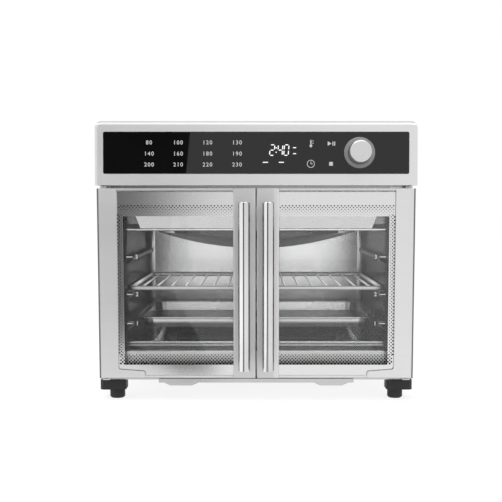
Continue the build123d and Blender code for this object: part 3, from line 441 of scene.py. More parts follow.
def brushed_steel(name, tone, roughness, edge_radius, painted_shade=None, painted_glint=None):
    """Silver sheet with a fine brushed grain, smears of handling and slightly brighter edges."""
    material, tree, shader, place = new_material(name, Metallic=1.0)
    streaks = add_group(tree, GRAIN, Vector=place, Stretch=ACROSS_X)["Streaks"]
    smear = add_smear(tree, place, patch_scale=8.0)
    edge = add_group(tree, SOFT_EDGE, Radius=edge_radius)
    dark, bright, rubbed = tones(tone, *BRUSHED_TONES)
    colour = add_mix(tree, streaks, dark, bright)
    # Painted highlight, where the finish has one
    if painted_glint is not None:
        colour = add_mix(tree, painted_glint(tree, place), colour, grey(GLINT_TONE))
    # Painted shade, where the finish has it
    if painted_shade is not None:
        colour = add_mix(tree, painted_shade(tree, place), colour, BLACK)
    streaky = add_spread(tree, streaks, roughness, STREAK_SPREAD)
    feed(tree, shader, Base_Color=add_mix(tree, edge["Edge"], colour, rubbed),
         Roughness=add_math(tree, "ADD", streaky, multiply(tree, smear, STREAK_SMEAR)),
         Normal=add_bump(tree, streaks, STREAK_BUMP, STREAK_DEPTH, edge["Normal"]))
    return material


def wiped_finish(name, clean, dull, roughness, patch_scale, **plain):
    """A smooth finish with faint haze where it was polished or wiped."""
    material, tree, shader, place = new_material(name, **plain)
    smear = add_smear(tree, place, patch_scale)
    edge = add_group(tree, SOFT_EDGE, Radius=FINE_EDGE)
    feed(tree, shader, Base_Color=add_mix(tree, smear, grey(clean), grey(dull)),
         Roughness=add_range(tree, smear, *roughness), Normal=edge["Normal"])
    return material


def handle_steel():
    """A plated rod with painted reflections: a white band, a thin dark line, a grey band and dark edges, as in a
    product studio.
    """
    material, tree, shader, place = new_material("handle_steel", Metallic=1.0)
    smear = add_smear(tree, place, patch_scale=14.0)
    turn = own_normal(tree)["X"]
    to_white = add_range(tree, turn, 1.0, 0.0, *HANDLE_BANDS)
    bands = add_mix(tree, to_white, grey(HANDLE_GREY), grey(HANDLE_WHITE))
    line = multiply(tree, add_band(tree, turn, *HANDLE_LINE, HANDLE_LINE_BLUR), HANDLE_LINE_SHADE)
    edge = add_range(tree, add_math(tree, "ABSOLUTE", turn), 0.0, HANDLE_EDGE_SHADE, *HANDLE_EDGE)
    dulled = add_mix(tree, multiply(tree, smear, HANDLE_SMEAR_SHADE), bands, BLACK)
    feed(tree, shader, Base_Color=add_mix(tree, larger(tree, line, edge), dulled, BLACK),
         Roughness=add_range(tree, smear, *HANDLE_ROUGHNESS))
    return material


def coated_sheet(name, tone, roughness, scale, contrast, metallic=1.0, warm=(1.0, 1.0, 1.0), edge_on=1.0,
                 painted_shade=None, speck=0.06):
    """Coated sheet metal: cloudy tone, specks and a soft, slightly uneven shine.

    edge_on dims its gloss at a flat angle, and painted_shade is a function for where painted shade darkens the
    sheet.
    """
    material, tree, shader, place = new_material(name, Metallic=metallic, Specular_Tint=grey(edge_on))
    mottle = add_group(tree, MOTTLE, Vector=place, Scale=scale)
    smear = add_smear(tree, place, patch_scale=6.0)
    edge = add_group(tree, SOFT_EDGE, Radius=SOFT_ROUND)
    low, high = ([min(tone * part * hue, 1.0) for hue in warm] for part in (1 - contrast, 1 + contrast))
    colour = add_mix(tree, mottle["Tone"], (*low, 1), (*high, 1))
    # Painted shade, where the sheet has it
    if painted_shade is not None:
        colour = add_mix(tree, painted_shade(tree, place), colour, BLACK)
    cloudy = add_spread(tree, mottle["Tone"], roughness, CLOUD_SPREAD)
    feed(tree, shader, Base_Color=colour,
         Roughness=add_math(tree, "ADD", cloudy, multiply(tree, smear, CLOUD_SMEAR)),
         Normal=add_bump(tree, mottle["Speck"], speck, SPECK_DEPTH, edge["Normal"]))
    return material


def moulded_plastic(name, colour, roughness, grain_scale, grain_depth):
    """Moulded plastic or rubber with a spark-eroded texture and paler, rubbed edges."""
    material, tree, shader, place = new_material(name)
    grain = add_noise(tree, place, Scale=grain_scale, Detail=3.0)
    smear = add_smear(tree, place, patch_scale=20.0)
    edge = add_group(tree, SOFT_EDGE, Radius=SOFT_ROUND)
    rubbed, dusty = ([min(part * share + haze, 1.0) for part in colour] for share, haze in PLASTIC_WEAR)
    base = add_mix(tree, multiply(tree, edge["Edge"], PLASTIC_RUBBING), (*colour, 1), (*rubbed, 1))
    feed(tree, shader, Base_Color=add_mix(tree, smear, base, (*dusty, 1)),
         Roughness=add_spread(tree, grain, roughness, PLASTIC_SPREAD),
         Normal=add_bump(tree, grain, PLASTIC_BUMP, grain_depth, edge["Normal"]))
    return material


def door_glass():
    """Clear glass that lets the studio light through to the cavity."""
    material, tree, shader, place = new_material("door_glass", Transmission_Weight=1.0, IOR=GLASS_IOR)
    smear = add_smear(tree, place, patch_scale=7.0)
    feed(tree, shader, Base_Color=add_mix(tree, smear, CLEAR_GLASS, SMEARED_GLASS),
         Roughness=add_range(tree, smear, *GLASS_ROUGHNESS))
    path = add_node(tree, "ShaderNodeLightPath").outputs
    lit = larger(tree, path["Is Shadow Ray"], path["Is Diffuse Ray"])
    clear = add_node(tree, "ShaderNodeBsdfTransparent", {"Color": grey(LIGHT_THROUGH_GLASS)})
    mixed = add_node(tree, "ShaderNodeMixShader", {0: lit, 1: shader.outputs[0], 2: clear.outputs[0]})
    tree.links.new(mixed.outputs[0], tree.nodes["Material Output"].inputs["Surface"])
    return material


def turned_metal(name, tone, roughness):
    """A lathe-turned face: rings about the dial's own axis."""
    material, tree, shader, place = new_material(name, Metallic=1.0)
    turn = face_normal.to_track_quat("Z", "Y").inverted().to_euler()
    centred = add_node(tree, "ShaderNodeVectorMath", {0: place, 1: tuple(dial_place)}, operation="SUBTRACT")
    local = add_node(tree, "ShaderNodeMapping", {"Vector": centred.outputs[0], "Rotation": turn}).outputs[0]
    rings = add_node(tree, "ShaderNodeTexWave", {"Vector": local, **RIPPLE}, wave_type="RINGS",
                     rings_direction="Z").outputs["Fac"]
    edge = add_group(tree, SOFT_EDGE, Radius=FINE_EDGE)
    dull, bright = tones(tone, 0.93, 1.0)
    feed(tree, shader, Base_Color=add_mix(tree, rings, dull, bright),
         Roughness=add_range(tree, rings, *from_level(roughness, RIPPLE_ROUGHNESS)),
         Normal=add_bump(tree, rings, RIPPLE_BUMP, RIPPLE_DEPTH, edge["Normal"]))
    return material


def printed_ink(name, tone, roughness, glow=0.0, gloss=0.5, metallic=0.0, fineness=900.0, thinnest=0.94,
                spread=0.05):
    """Screen-printed ink with slightly uneven cover; glow is for lit signs, and is painted light on prints that
    nothing lights.
    """
    material, tree, shader, place = new_material(name, Emission_Strength=glow, Specular_IOR_Level=gloss,
                                                 Metallic=metallic)
    cover = add_noise(tree, place, Scale=fineness, Detail=2.0)
    thin, full = tones(tone, thinnest, 1.0)
    colour = add_mix(tree, cover, thin, full)
    feed(tree, shader, Base_Color=colour, Roughness=add_spread(tree, cover, roughness, spread))
    if glow:
        feed(tree, shader, Emission_Color=colour)
    return material


finish_of_slot = {
    "fascia_steel": brushed_steel("fascia_steel", tone=0.75, roughness=0.38, edge_radius=0.8 * MM,
                                  painted_shade=fascia_shading, painted_glint=fascia_glint),
    "door_steel": brushed_steel("door_steel", tone=0.76, roughness=0.42, edge_radius=0.6 * MM,
                                painted_shade=door_shading),
    "bright_steel": brushed_steel("bright_steel", tone=0.55, roughness=0.24, edge_radius=0.4 * MM),
    "sill_steel": wiped_finish("sill_steel", clean=0.38, dull=0.3268, roughness=(0.12, 0.28),
                               patch_scale=14.0, Metallic=1.0),
    "panel_gloss": wiped_finish("panel_gloss", clean=0.005, dull=0.008, roughness=(0.01, 0.05),
                                patch_scale=11.0, IOR=GLASS_IOR),
    "polished_steel": handle_steel(),
    "knob_silver": turned_metal("knob_silver", tone=0.68, roughness=0.3),
    "door_glass": door_glass(),
}
# Tone, roughness, scale of the mottle and its contrast
SHEETS = {
    "frame_enamel": (0.62, 0.28, 140.0, 0.04, {"painted_shade": under_fascia}),
    # wall_sheet is a darker tone of the back wall's cavity sheet: painted shade on the side walls
    "wall_sheet": (0.36, 0.2, 45.0, 0.05, {"edge_on": 0.35, "painted_shade": wall_shading, "speck": 0.01}),
    "cavity_sheet": (0.6, 0.16, 45.0, 0.04, {"painted_shade": near_side_walls, "speck": 0.01}),
    "pan_metal": (0.6, 0.24, 30.0, 0.06, {"edge_on": 0.5, "painted_shade": baked_on, "speck": 0.01}),
    "chromed_wire": (0.93, 0.2, 300.0, 0.03, {"metallic": 0.15, "painted_shade": rod_edges, "speck": 0.01}),
    "guard_enamel": (0.045, 0.3, 120.0, 0.08, {"metallic": 0.0, "speck": 0.02}),
    "cover_paint": (0.56, 0.36, 160.0, 0.05, {"metallic": 0.7}),
    "zinc_sheet": (0.5, 0.42, 55.0, 0.16, {}),
    "motor_steel": (0.3, 0.4, 90.0, 0.15, {}),
    "heater_sheath": (0.16, 0.45, 220.0, 0.25, {"warm": (1.0, 0.95, 0.9)}),
}
for slot, (*values, special) in SHEETS.items():
    finish_of_slot[slot] = coated_sheet(slot, *values, **special)
# Colour, roughness, scale and depth of the grain
PLASTICS = {
    "display_face": ((0.01, 0.01, 0.012), 0.2, 400.0, 0.02 * MM),
    "foot_rubber": ((0.022, 0.022, 0.023), 0.6, 1500.0, 0.08 * MM),
    "black_plastic": ((0.02, 0.02, 0.021), 0.45, 1200.0, 0.06 * MM),
    "ring_grey": ((0.36, 0.36, 0.365), 0.35, 1600.0, 0.03 * MM),
    "bush_ceramic": ((0.78, 0.75, 0.68), 0.6, 900.0, 0.05 * MM),
    "board_laminate": ((0.03, 0.12, 0.05), 0.35, 700.0, 0.02 * MM),
}
for slot, values in PLASTICS.items():
    finish_of_slot[slot] = moulded_plastic(slot, *values)
# The panel's white print glows a little though nothing lights it: painted light
PRINT_WHITE_PAINTED_GLOW = printed_ink("print_white", tone=0.8, roughness=0.4, glow=0.12)
LIT_SIGN = printed_ink("lit_sign", tone=0.9, roughness=0.4, glow=0.75)
GLASS_PRINT = printed_ink("glass_print", tone=0.72, roughness=0.2, metallic=1.0, fineness=1200.0,
                          thinnest=0.98, spread=0.02)
DOT_INK = printed_ink("dot_ink", tone=0.01, roughness=0.5, gloss=0.1)
# The level marks on the glass glow a little though nothing lights them: painted light
GLASS_INK_PAINTED_GLOW = printed_ink("glass_ink", tone=0.82, roughness=0.35, glow=0.25)


def dress_frame():
    """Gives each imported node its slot's finish."""
    slot_of = {part["node"]: part["material_slot"] for part in frame["record"]["subparts"]}
    for name, thing in nodes.items():
        thing.data.materials.clear()
        thing.data.materials.append(finish_of_slot[slot_of[name]])


# Making of pieces
PRINT_THICKNESS = 0.06 * MM
PRINT_CLEARANCE = 0.01 * MM
FIGURE_HEIGHT = 0.69
LETTER_WEIGHT = 0.012
LETTER_SPACING = 1.25
LETTER_STEPS = 4


def new_mesh(name, shape):
    mesh = bpy.data.meshes.new(name)
    shape.to_mesh(mesh)
    shape.free()
    return mesh


def evaluated_mesh(thing):
    """The finished mesh of an object with live modifiers, text or curves, which is then removed."""
    scene.collection.objects.link(thing)
    view = bpy.context.evaluated_depsgraph_get()
    mesh = bpy.data.meshes.new_from_object(thing.evaluated_get(view))
    bpy.data.objects.remove(thing)
    return mesh


def gathered(name, placed_meshes):
    """One mesh from several, each put in its place."""
    shape = bmesh.new()
    for mesh, place in placed_meshes:
        before = len(shape.verts)
        shape.from_mesh(mesh)
        shape.verts.ensure_lookup_table()
        bmesh.ops.transform(shape, matrix=place, verts=shape.verts[before:])
    return new_mesh(name, shape)


def add_piece(name, mesh, finish, body):
    """A finished piece that moves with a body, in the finish it is given."""
    mesh.materials.clear()
    mesh.materials.append(finish)
    piece = bpy.data.objects.new(name, mesh)
    scene.collection.objects.link(piece)
    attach(piece, body)
    return piece


def add_print(name, placed_films, finish, body):
    """A print of several films, each put in its place."""
    add_piece(name, gathered(name, placed_films), finish, body)


def facing(origin, across, up):
    """A place whose flat X, Y become across and up, and whose Z stands out of the surface."""
    turned = Matrix((across, up, across.cross(up))).transposed().to_4x4()
    return Matrix.Translation(origin) @ turned


def flat_print(name, outlines):
    """Thin closed films from flat outlines."""
    shape = bmesh.new()
    for points in outlines:
        face = shape.faces.new([shape.verts.new((x, y, 0)) for x, y in points])
        grown = bmesh.ops.extrude_face_region(shape, geom=[face])
        top = [part for part in grown["geom"] if isinstance(part, bmesh.types.BMVert)]
        bmesh.ops.translate(shape, verts=top, vec=(0, 0, PRINT_THICKNESS))
    bmesh.ops.recalc_face_normals(shape, faces=shape.faces)
    return new_mesh(name, shape)


def lettering(words, height):
    """Numbers in plain type, centred, as a thin closed film; height is that of a figure."""
    curve = bpy.data.curves.new("lettering", "FONT")
    curve.body = words
    curve.align_x = "CENTER"
    curve.align_y = "CENTER"
    curve.space_character = LETTER_SPACING
    curve.resolution_u = LETTER_STEPS
    curve.offset = LETTER_WEIGHT
    half_depth = 0.5
    curve.extrude = half_depth
    mesh = evaluated_mesh(bpy.data.objects.new("lettering", curve))
    mesh.transform(Matrix.Translation((0, 0, half_depth)))
    size = height / FIGURE_HEIGHT
    mesh.transform(Matrix.Diagonal((size, size, PRINT_THICKNESS, 1)))
    return mesh


def round_points(x, y, radius, corners):
    turns = [2 * math.pi * step / corners for step in range(corners)]
    return [(x + radius * math.cos(turn), y + radius * math.sin(turn)) for turn in turns]


def bar_outline(x, y, width, height):
    left, right, low, high = x - width / 2, x + width / 2, y - height / 2, y + height / 2
    return [(left, low), (right, low), (right, high), (left, high)]


def ring_outlines(x, y, radius, stroke, corners=28):
    """A ring as a row of joined wedges."""
    outer = round_points(x, y, radius + stroke / 2, corners)
    inner = round_points(x, y, radius - stroke / 2, corners)
    return [[inner[step - 1], outer[step - 1], outer[step], inner[step]] for step in range(corners)]


# Repeated parts
DOT_CORNERS = 10
BAR_CORNERS = 12
ROD_CORNERS = 14
BEND_STEPS = 8
RACK_ROD = 3.0 * MM
RACK_WIRE = 1.5 * MM
RACK_PITCH = 20 * MM
RACK_CORNER = 9 * MM
RACK_WIRES = 17
HEAD_RADIUS = 4.0 * MM
HEAD_HEIGHT = 2.2 * MM
HEAD_RINGS = (0.08, 0.11, 0.16, 0.25, 0.34, 0.43, 0.52, 0.575, 0.6, 0.7, 0.82, 0.92, 0.97)
HEAD_FALL = 0.5
HEAD_ROUNDNESS = 2.5
HEAD_RIM = 0.4
SHANK_RADIUS = 1.95 * MM
SHANK_LENGTH = 8 * MM
RECESS_ARM = 2.3 * MM
RECESS_HALF = 0.45 * MM
RECESS_DEPTH = 1.2 * MM
TURN_STEPS = 48
SCREW_STEP = 150 * MM
REAR_SCREW_X = 197 * MM
REAR_SCREW_LOW = 50 * MM
REAR_SCREWS = 3
SIDE_SCREW_INSET = 9.2 * MM
SIDE_SCREW_LOW = 200 * MM
SIDE_SCREWS = 2
DOT_PITCH = 4.7 * MM
DOT_THICKNESS = 2 * PRINT_THICKNESS


def shape_node(tree, kind, links=None, **settings):
    """A geometry node by the last part of its name, and its outputs."""
    return add_node(tree, "GeometryNode" + kind, links, **settings).outputs


def close_tree(tree, geometry, finish, result):
    """Ends a geometry tree with a plain mesh in its finish."""
    real = shape_node(tree, "RealizeInstances", {0: geometry})
    dressed = shape_node(tree, "SetMaterial", {"Geometry": real[0], "Material": finish})
    tree.links.new(dressed[0], result["Mesh"])


def grown_mesh(tree, values):
    """The mesh that a geometry tree makes from its named inputs."""
    seed = bpy.data.objects.new(tree.name, bpy.data.meshes.new(tree.name))
    modifier = seed.modifiers.new(tree.name, "NODES")
    modifier.node_group = tree
    for item in tree.interface.items_tree:
        if item.item_type == "SOCKET" and item.in_out == "INPUT":
            modifier[item.identifier] = values[item.name]
    return evaluated_mesh(seed)


def add_vector(tree, x=0.0, y=0.0, z=0.0):
    return add_node(tree, "ShaderNodeCombineXYZ", {"X": x, "Y": y, "Z": z}).outputs[0]


def put_on(tree, points, shape, **turn_or_size):
    """Copies of a shape on points."""
    return shape_node(tree, "InstanceOnPoints", {"Points": points, "Instance": shape, **turn_or_size})[0]


def row_of_places(tree, count, start, step):
    return shape_node(tree, "MeshLine", {"Count": count, "Start Location": start, "Offset": step})[0]


def frit_dot_tree():
    """Staggered rows of dots that grow smaller from the first row to the last."""
    inputs = {"Columns": "Int", "Rows": "Int", "Pitch": "Float", "First Dot": "Float", "Last Dot": "Float",
              "Thickness": "Float", "Ink": "Material"}
    tree, given, result = new_group("frit_dots", inputs, {"Mesh": "Geometry"}, "Geometry")
    row_step = multiply(tree, given["Pitch"], 0.5)
    last_row = add_math(tree, "SUBTRACT", given["Rows"], 1.0)
    across = multiply(tree, add_math(tree, "SUBTRACT", given["Columns"], 1.0), given["Pitch"])
    along = multiply(tree, last_row, row_step)
    spread = {"Size X": across, "Size Y": along, "Vertices X": given["Columns"], "Vertices Y": given["Rows"]}
    grid = shape_node(tree, "MeshGrid", spread)
    spot = split(tree, shape_node(tree, "InputPosition")[0])
    from_start = add_math(tree, "ADD", spot["Y"], multiply(tree, along, 0.5))
    row = add_math(tree, "ROUND", add_math(tree, "DIVIDE", from_start, row_step))
    odd = add_math(tree, "FLOORED_MODULO", row, 2.0)
    slip = multiply(tree, add_math(tree, "SUBTRACT", odd, 0.5), row_step)
    staggered = shape_node(tree, "SetPosition", {"Geometry": grid[0], "Offset": add_vector(tree, slip)})
    size = add_range(tree, row, given["First Dot"], given["Last Dot"], 0.0, last_row)
    flat = {"Vertices": DOT_CORNERS, "Radius": 1.0, "Depth": given["Thickness"]}
    dot = shape_node(tree, "MeshCylinder", flat)["Mesh"]
    dots = put_on(tree, staggered[0], dot, Scale=add_vector(tree, size, size, 1.0))
    close_tree(tree, dots, given["Ink"], result)
    return tree


def rack_tree():
    """A rack: a frame of stout rod with bent corners, and wires from front to back."""
    inputs = {"Width": "Float", "Depth": "Float", "Corner": "Float", "Rod": "Float", "Wire": "Float",
              "Pitch": "Float", "Wires": "Int", "Finish": "Material"}
    tree, given, result = new_group("rack", inputs, {"Mesh": "Geometry"}, "Geometry")
    sides = {"Width": given["Width"], "Height": given["Depth"]}
    outline = shape_node(tree, "CurvePrimitiveQuadrilateral", sides)
    bend = {"Curve": outline[0], "Count": BEND_STEPS, "Radius": given["Corner"]}
    bent = shape_node(tree, "FilletCurve", bend, mode="POLY")
    section = shape_node(tree, "CurvePrimitiveCircle", {"Resolution": ROD_CORNERS, "Radius": given["Rod"]})
    rod = shape_node(tree, "CurveToMesh", {"Curve": bent[0], "Profile Curve": section[0]})
    rod = shape_node(tree, "SetShadeSmooth", {"Geometry": rod[0]})
    upright = {"Vertices": BAR_CORNERS, "Radius": given["Wire"], "Depth": given["Depth"]}
    bar = shape_node(tree, "MeshCylinder", upright)
    wire = shape_node(tree, "SetShadeSmooth", {"Geometry": bar["Mesh"]})
    for end in ("Top", "Bottom"):
        rim = {"Geometry": wire[0], "Selection": bar[end], "Shade Smooth": False}
        wire = shape_node(tree, "SetShadeSmooth", rim, domain="EDGE")
    laid = shape_node(tree, "Transform", {"Geometry": wire[0], "Rotation": (math.pi / 2, 0, 0)})
    last_wire = add_math(tree, "SUBTRACT", given["Wires"], 1.0)
    first_place = add_vector(tree, multiply(tree, multiply(tree, last_wire, given["Pitch"]), -0.5))
    places = row_of_places(tree, given["Wires"], first_place, add_vector(tree, given["Pitch"]))
    joined = tree.nodes.new("GeometryNodeJoinGeometry")
    for geometry in (rod[0], put_on(tree, places, laid[0])):
        tree.links.new(geometry, joined.inputs[0])
    close_tree(tree, joined.outputs[0], given["Finish"], result)
    return tree


def make_rack():
    """The rack of round bent rod and wire, in the place of its plain solid."""
    low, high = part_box("wire_rack")
    finish = finish_of_slot["chromed_wire"]
    middle = (low + high) / 2
    span = high - low
    values = {"Width": span.x - 2 * RACK_ROD, "Depth": span.y - 2 * RACK_ROD, "Corner": RACK_CORNER,
              "Rod": RACK_ROD, "Wire": RACK_WIRE, "Pitch": RACK_PITCH, "Wires": RACK_WIRES, "Finish": finish}
    mesh = grown_mesh(rack_tree(), values)
    mesh.transform(Matrix.Translation((middle.x, middle.y, high.z - RACK_ROD)))
    piece = add_piece("oven_rack", mesh, finish, "oven")
    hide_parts("wire_rack")


def screw_mesh():
    """A domed screw head with a cross recess and a plain shank, standing on Z = 0."""
    rings = []
    for part in HEAD_RINGS:
        rings.append((HEAD_RADIUS * part, HEAD_HEIGHT * (1 - HEAD_FALL * part ** HEAD_ROUNDNESS)))
    rings += [(HEAD_RADIUS, HEAD_HEIGHT * HEAD_RIM), (HEAD_RADIUS, 0.0)]
    rings += [(SHANK_RADIUS, 0.0), (SHANK_RADIUS, -SHANK_LENGTH)]
    shape = bmesh.new()
    rows = []
    for radius, height in rings:
        row = []
        for x, y in round_points(0, 0, radius, TURN_STEPS):
            along, aside = max(abs(x), abs(y)), min(abs(x), abs(y))
            sunk = height > 0 and along < RECESS_ARM and aside < RECESS_HALF
            row.append(shape.verts.new((x, y, height - RECESS_DEPTH * sunk)))
        rows.append(row)
    for outer, inner in zip(rows[1:], rows):
        for step in range(TURN_STEPS):
            shape.faces.new((inner[step - 1], outer[step - 1], outer[step], inner[step]))
    shape.faces.new(rows[0])
    shape.faces.new(rows[-1][::-1])
    bmesh.ops.recalc_face_normals(shape, faces=shape.faces)
    return new_mesh("screw", shape)


def screw_row_tree():
    """A row of equal screws, all turned the same way."""
    inputs = {"Screw": "Object", "Count": "Int", "Start": "Vector", "Step": "Vector", "Turn": "Vector",
              "Finish": "Material"}
    tree, given, result = new_group("screw_row", inputs, {"Mesh": "Geometry"}, "Geometry")
    places = row_of_places(tree, given["Count"], given["Start"], given["Step"])
    screw = shape_node(tree, "ObjectInfo", {"Object": given["Screw"]})["Geometry"]
    close_tree(tree, put_on(tree, places, screw, Rotation=given["Turn"]), given["Finish"], result)
    return tree


def make_screws():
    """Cross-recessed screws in upright rows: the rear panel's, and the cover's on its sides."""
    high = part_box("shell_screws")[1]
    rear = high.y - HEAD_HEIGHT
    side_face = high.x - HEAD_HEIGHT
    finish = finish_of_slot["bright_steel"]
    model = bpy.data.objects.new("screw", screw_mesh())
    tree = screw_row_tree()
    rows = []
    for side in (-1, 1):
        on_rear = Vector((side * REAR_SCREW_X, rear, REAR_SCREW_LOW))
        on_side = Vector((side * side_face, rear - SIDE_SCREW_INSET, SIDE_SCREW_LOW))
        for count, start, across in ((REAR_SCREWS, on_rear, -X_AXIS), (SIDE_SCREWS, on_side, side * Y_AXIS)):
            values = {"Screw": model, "Count": count, "Start": start, "Step": SCREW_STEP * Z_AXIS,
                      "Turn": facing(start, across, Z_AXIS).to_euler(), "Finish": finish}
            rows.append((grown_mesh(tree, values), Matrix()))
    bpy.data.objects.remove(model)
    piece = add_piece("cover_screws", gathered("cover_screws", rows), finish, "oven")
    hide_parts("shell_screws")


FRIT_DOTS = frit_dot_tree()


def dot_rows(columns, rows, first_dot, last_dot):
    """A band of dots, flat, with its first row along the door's edge."""
    values = {"Columns": columns, "Rows": rows, "Pitch": DOT_PITCH, "First Dot": first_dot,
              "Last Dot": last_dot, "Thickness": DOT_THICKNESS, "Ink": DOT_INK}
    mesh = grown_mesh(FRIT_DOTS, values)
    mesh.transform(Matrix.Translation((0, 0, DOT_THICKNESS / 2)))
    return mesh


# Prints on the doors
FRIT_EDGE = 0.1 * MM
FRIT_GAP = 1.2 * MM
FRIT_TOP = 253 * MM
FRIT_BOTTOM = 50 * MM
FRIT_STRIP = 8.2 * MM
DOT_EDGE = 1.0 * MM
DOT_TOP = 267.2 * MM
DOT_BOTTOM = 51.7 * MM
DOT_ROWS = 6
SIDE_DOT_ROWS = 4
TOP_DOTS = (1.0 * MM, 0.35 * MM)
SIDE_DOTS = (1.2 * MM, 0.6 * MM)
BOTTOM_DOTS = (1.4 * MM, 0.85 * MM)
LEVELS = (107 * MM, 147 * MM, 198 * MM)
TICK_PLACE = 172.3 * MM
TICK_LENGTH = 8.2 * MM
TICK_WIDTH = 1.2 * MM
NUMERAL_PLACE = 162.5 * MM
NUMERAL_HEIGHT = 5.4 * MM


def print_doors():
    """Silver border with fading dots, level ticks and level numbers on each pane."""
    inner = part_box("right_door_centre_stile")[1].x + FRIT_EDGE
    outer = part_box("right_door_top_trim")[1].x - FRIT_EDGE
    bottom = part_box("right_door_bottom_trim")[1].z + FRIT_EDGE
    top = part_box("right_door_top_trim")[0].z - FRIT_GAP
    surface = glass_front - PRINT_CLEARANCE
    strip = outer - FRIT_STRIP
    border = [(inner, bottom), (outer, bottom), (outer, top), (inner, top), (inner, FRIT_TOP),
              (strip, FRIT_TOP), (strip, FRIT_BOTTOM), (inner, FRIT_BOTTOM)]
    row_step = DOT_PITCH / 2
    band_half = (DOT_ROWS - 1) / 2 * row_step
    side_half = (SIDE_DOT_ROWS - 1) / 2 * row_step
    dot_edge = outer - DOT_EDGE
    across_count = round((dot_edge - inner) / DOT_PITCH)
    upright_count = round((DOT_TOP - DOT_BOTTOM) / DOT_PITCH) - DOT_ROWS + 1
    top_dots = dot_rows(across_count, DOT_ROWS, *TOP_DOTS)
    bottom_dots = dot_rows(across_count, DOT_ROWS, *BOTTOM_DOTS)
    side_dots = dot_rows(upright_count, SIDE_DOT_ROWS, *SIDE_DOTS)
    middle_x = (inner + dot_edge) / 2
    middle_z = (DOT_TOP + DOT_BOTTOM) / 2
    for side, hand in (("left", -1), ("right", 1)):
        def on_glass(x, z, across=X_AXIS, up=Z_AXIS):
            return facing(Vector((hand * x, surface, z)), across, up)
        door = side + "_door"
        film = flat_print("door_border", [[(hand * x, z) for x, z in border]])
        add_print(door + "_border", [(film, on_glass(0, 0))], GLASS_PRINT, door)
        dots = [
            (top_dots, on_glass(middle_x, DOT_TOP - band_half, -X_AXIS, -Z_AXIS)),
            (bottom_dots, on_glass(middle_x, DOT_BOTTOM + band_half)),
            (side_dots, on_glass(dot_edge - side_half, middle_z, hand * Z_AXIS, -hand * X_AXIS)),
        ]
        add_print(door + "_dots", dots, DOT_INK, door)
        marks = []
        for number, level in enumerate(LEVELS, 1):
            tick = flat_print("tick", [bar_outline(0, 0, TICK_LENGTH, TICK_WIDTH)])
            marks.append((tick, on_glass(TICK_PLACE, level)))
            marks.append((lettering(str(number), NUMERAL_HEIGHT), on_glass(NUMERAL_PLACE, level)))
        add_print(door + "_level_marks", marks, GLASS_INK_PAINTED_GLOW, door)


# Prints on the control panel, from its middle
PRESETS = (("80", "140", "200"), ("100", "160", "210"), ("120", "180", "220"), ("130", "190", "230"))
PRESET_COLUMNS = (-143.9 * MM, -104.9 * MM, -65.5 * MM, -25.7 * MM)
PRESET_ROWS = (13.5 * MM, -1.4 * MM, -16.0 * MM)
PRESET_HEIGHT = 5.2 * MM
DIGIT_HEIGHT = 14.0 * MM
DIGIT_WIDTH = 6.0 * MM
DIGIT_STROKE = 1.3 * MM
DIGIT_GAP = 1.15
DIGIT_SLANT = 0.08
DIGIT_RISE = 3.6 * MM
SEGMENTS_OF = {"0": "abcdef", "2": "abged", "4": "fgbc"}
READING = (("2", 21.5 * MM), ("4", 32.3 * MM), ("0", 40.5 * MM))
COLON_PLACE = 26.8 * MM
COLON_RISES = (-3.0 * MM, 3.0 * MM)
COLON_RADIUS = 0.9 * MM
COLON_CORNERS = 10
UNIT_BAR = (4.2 * MM, 1.2 * MM)
UNIT_PLACES = ((51.5 * MM, 6.8 * MM), (51.5 * MM, -1.2 * MM))
MODE_BAR = (7.0 * MM, 1.2 * MM)
MODE_PLACES = ((12.4 * MM, -12.8 * MM), (33.8 * MM, -12.8 * MM))
LEFT_SIGNS = 73.4 * MM
UPPER_SIGNS = 12.3 * MM
LOWER_SIGNS = -14.8 * MM
BULB_RISE = 9.2 * MM
BULB_RADIUS = 1.9 * MM
BULB_CORNERS = 20
STEM_RISE = 13.6 * MM
STEM = (1.5 * MM, 7 * MM)
SCALE_PLACE = 76.1 * MM
SCALE_RISES = (12.4 * MM, 14.4 * MM, 16.4 * MM)
SCALE_MARK = (1.8 * MM, 0.6 * MM)
CLOCK_RADIUS = 4.9 * MM
CLOCK_STROKE = 0.8 * MM
LONG_HAND = 3.4 * MM
LONG_HAND_RISE = -13.3 * MM
SHORT_HAND = 2.6 * MM
SHORT_HAND_PLACE = 74.7 * MM
START_LEFT = 96.0 * MM
START_TIP = 101.0 * MM
START_HALF = 3.0 * MM
PAUSE_BAR = (1.3 * MM, 5.4 * MM)
PAUSE_PLACES = (103.0 * MM, 105.4 * MM)
STOP_PLACE = 100.5 * MM
STOP_SIZE = 5.0 * MM


def segment_outlines(figure, x, y):
    """The lit segments of one figure, as pointed bars."""
    wide, high, half = DIGIT_WIDTH / 2, DIGIT_HEIGHT / 2, DIGIT_STROKE / 2
    tip = half * DIGIT_GAP
    shoulder = tip + half
    ends = {"a": (-wide, high, wide, high), "g": (-wide, 0, wide, 0), "d": (-wide, -high, wide, -high),
            "f": (-wide, 0, -wide, high), "e": (-wide, -high, -wide, 0), "b": (wide, 0, wide, high),
            "c": (wide, -high, wide, 0)}
    outlines = []
    for segment in SEGMENTS_OF[figure]:
        start, end = Vector(ends[segment][:2]), Vector(ends[segment][2:])
        along = (end - start).normalized()
        side = half * along.yx
        first, last = start + shoulder * along, end - shoulder * along
        bar = [start + tip * along, first - side, last - side, end - tip * along, last + side, first + side]
        outlines.append([(x + point.x + DIGIT_SLANT * point.y, y + point.y) for point in bar])
    return outlines


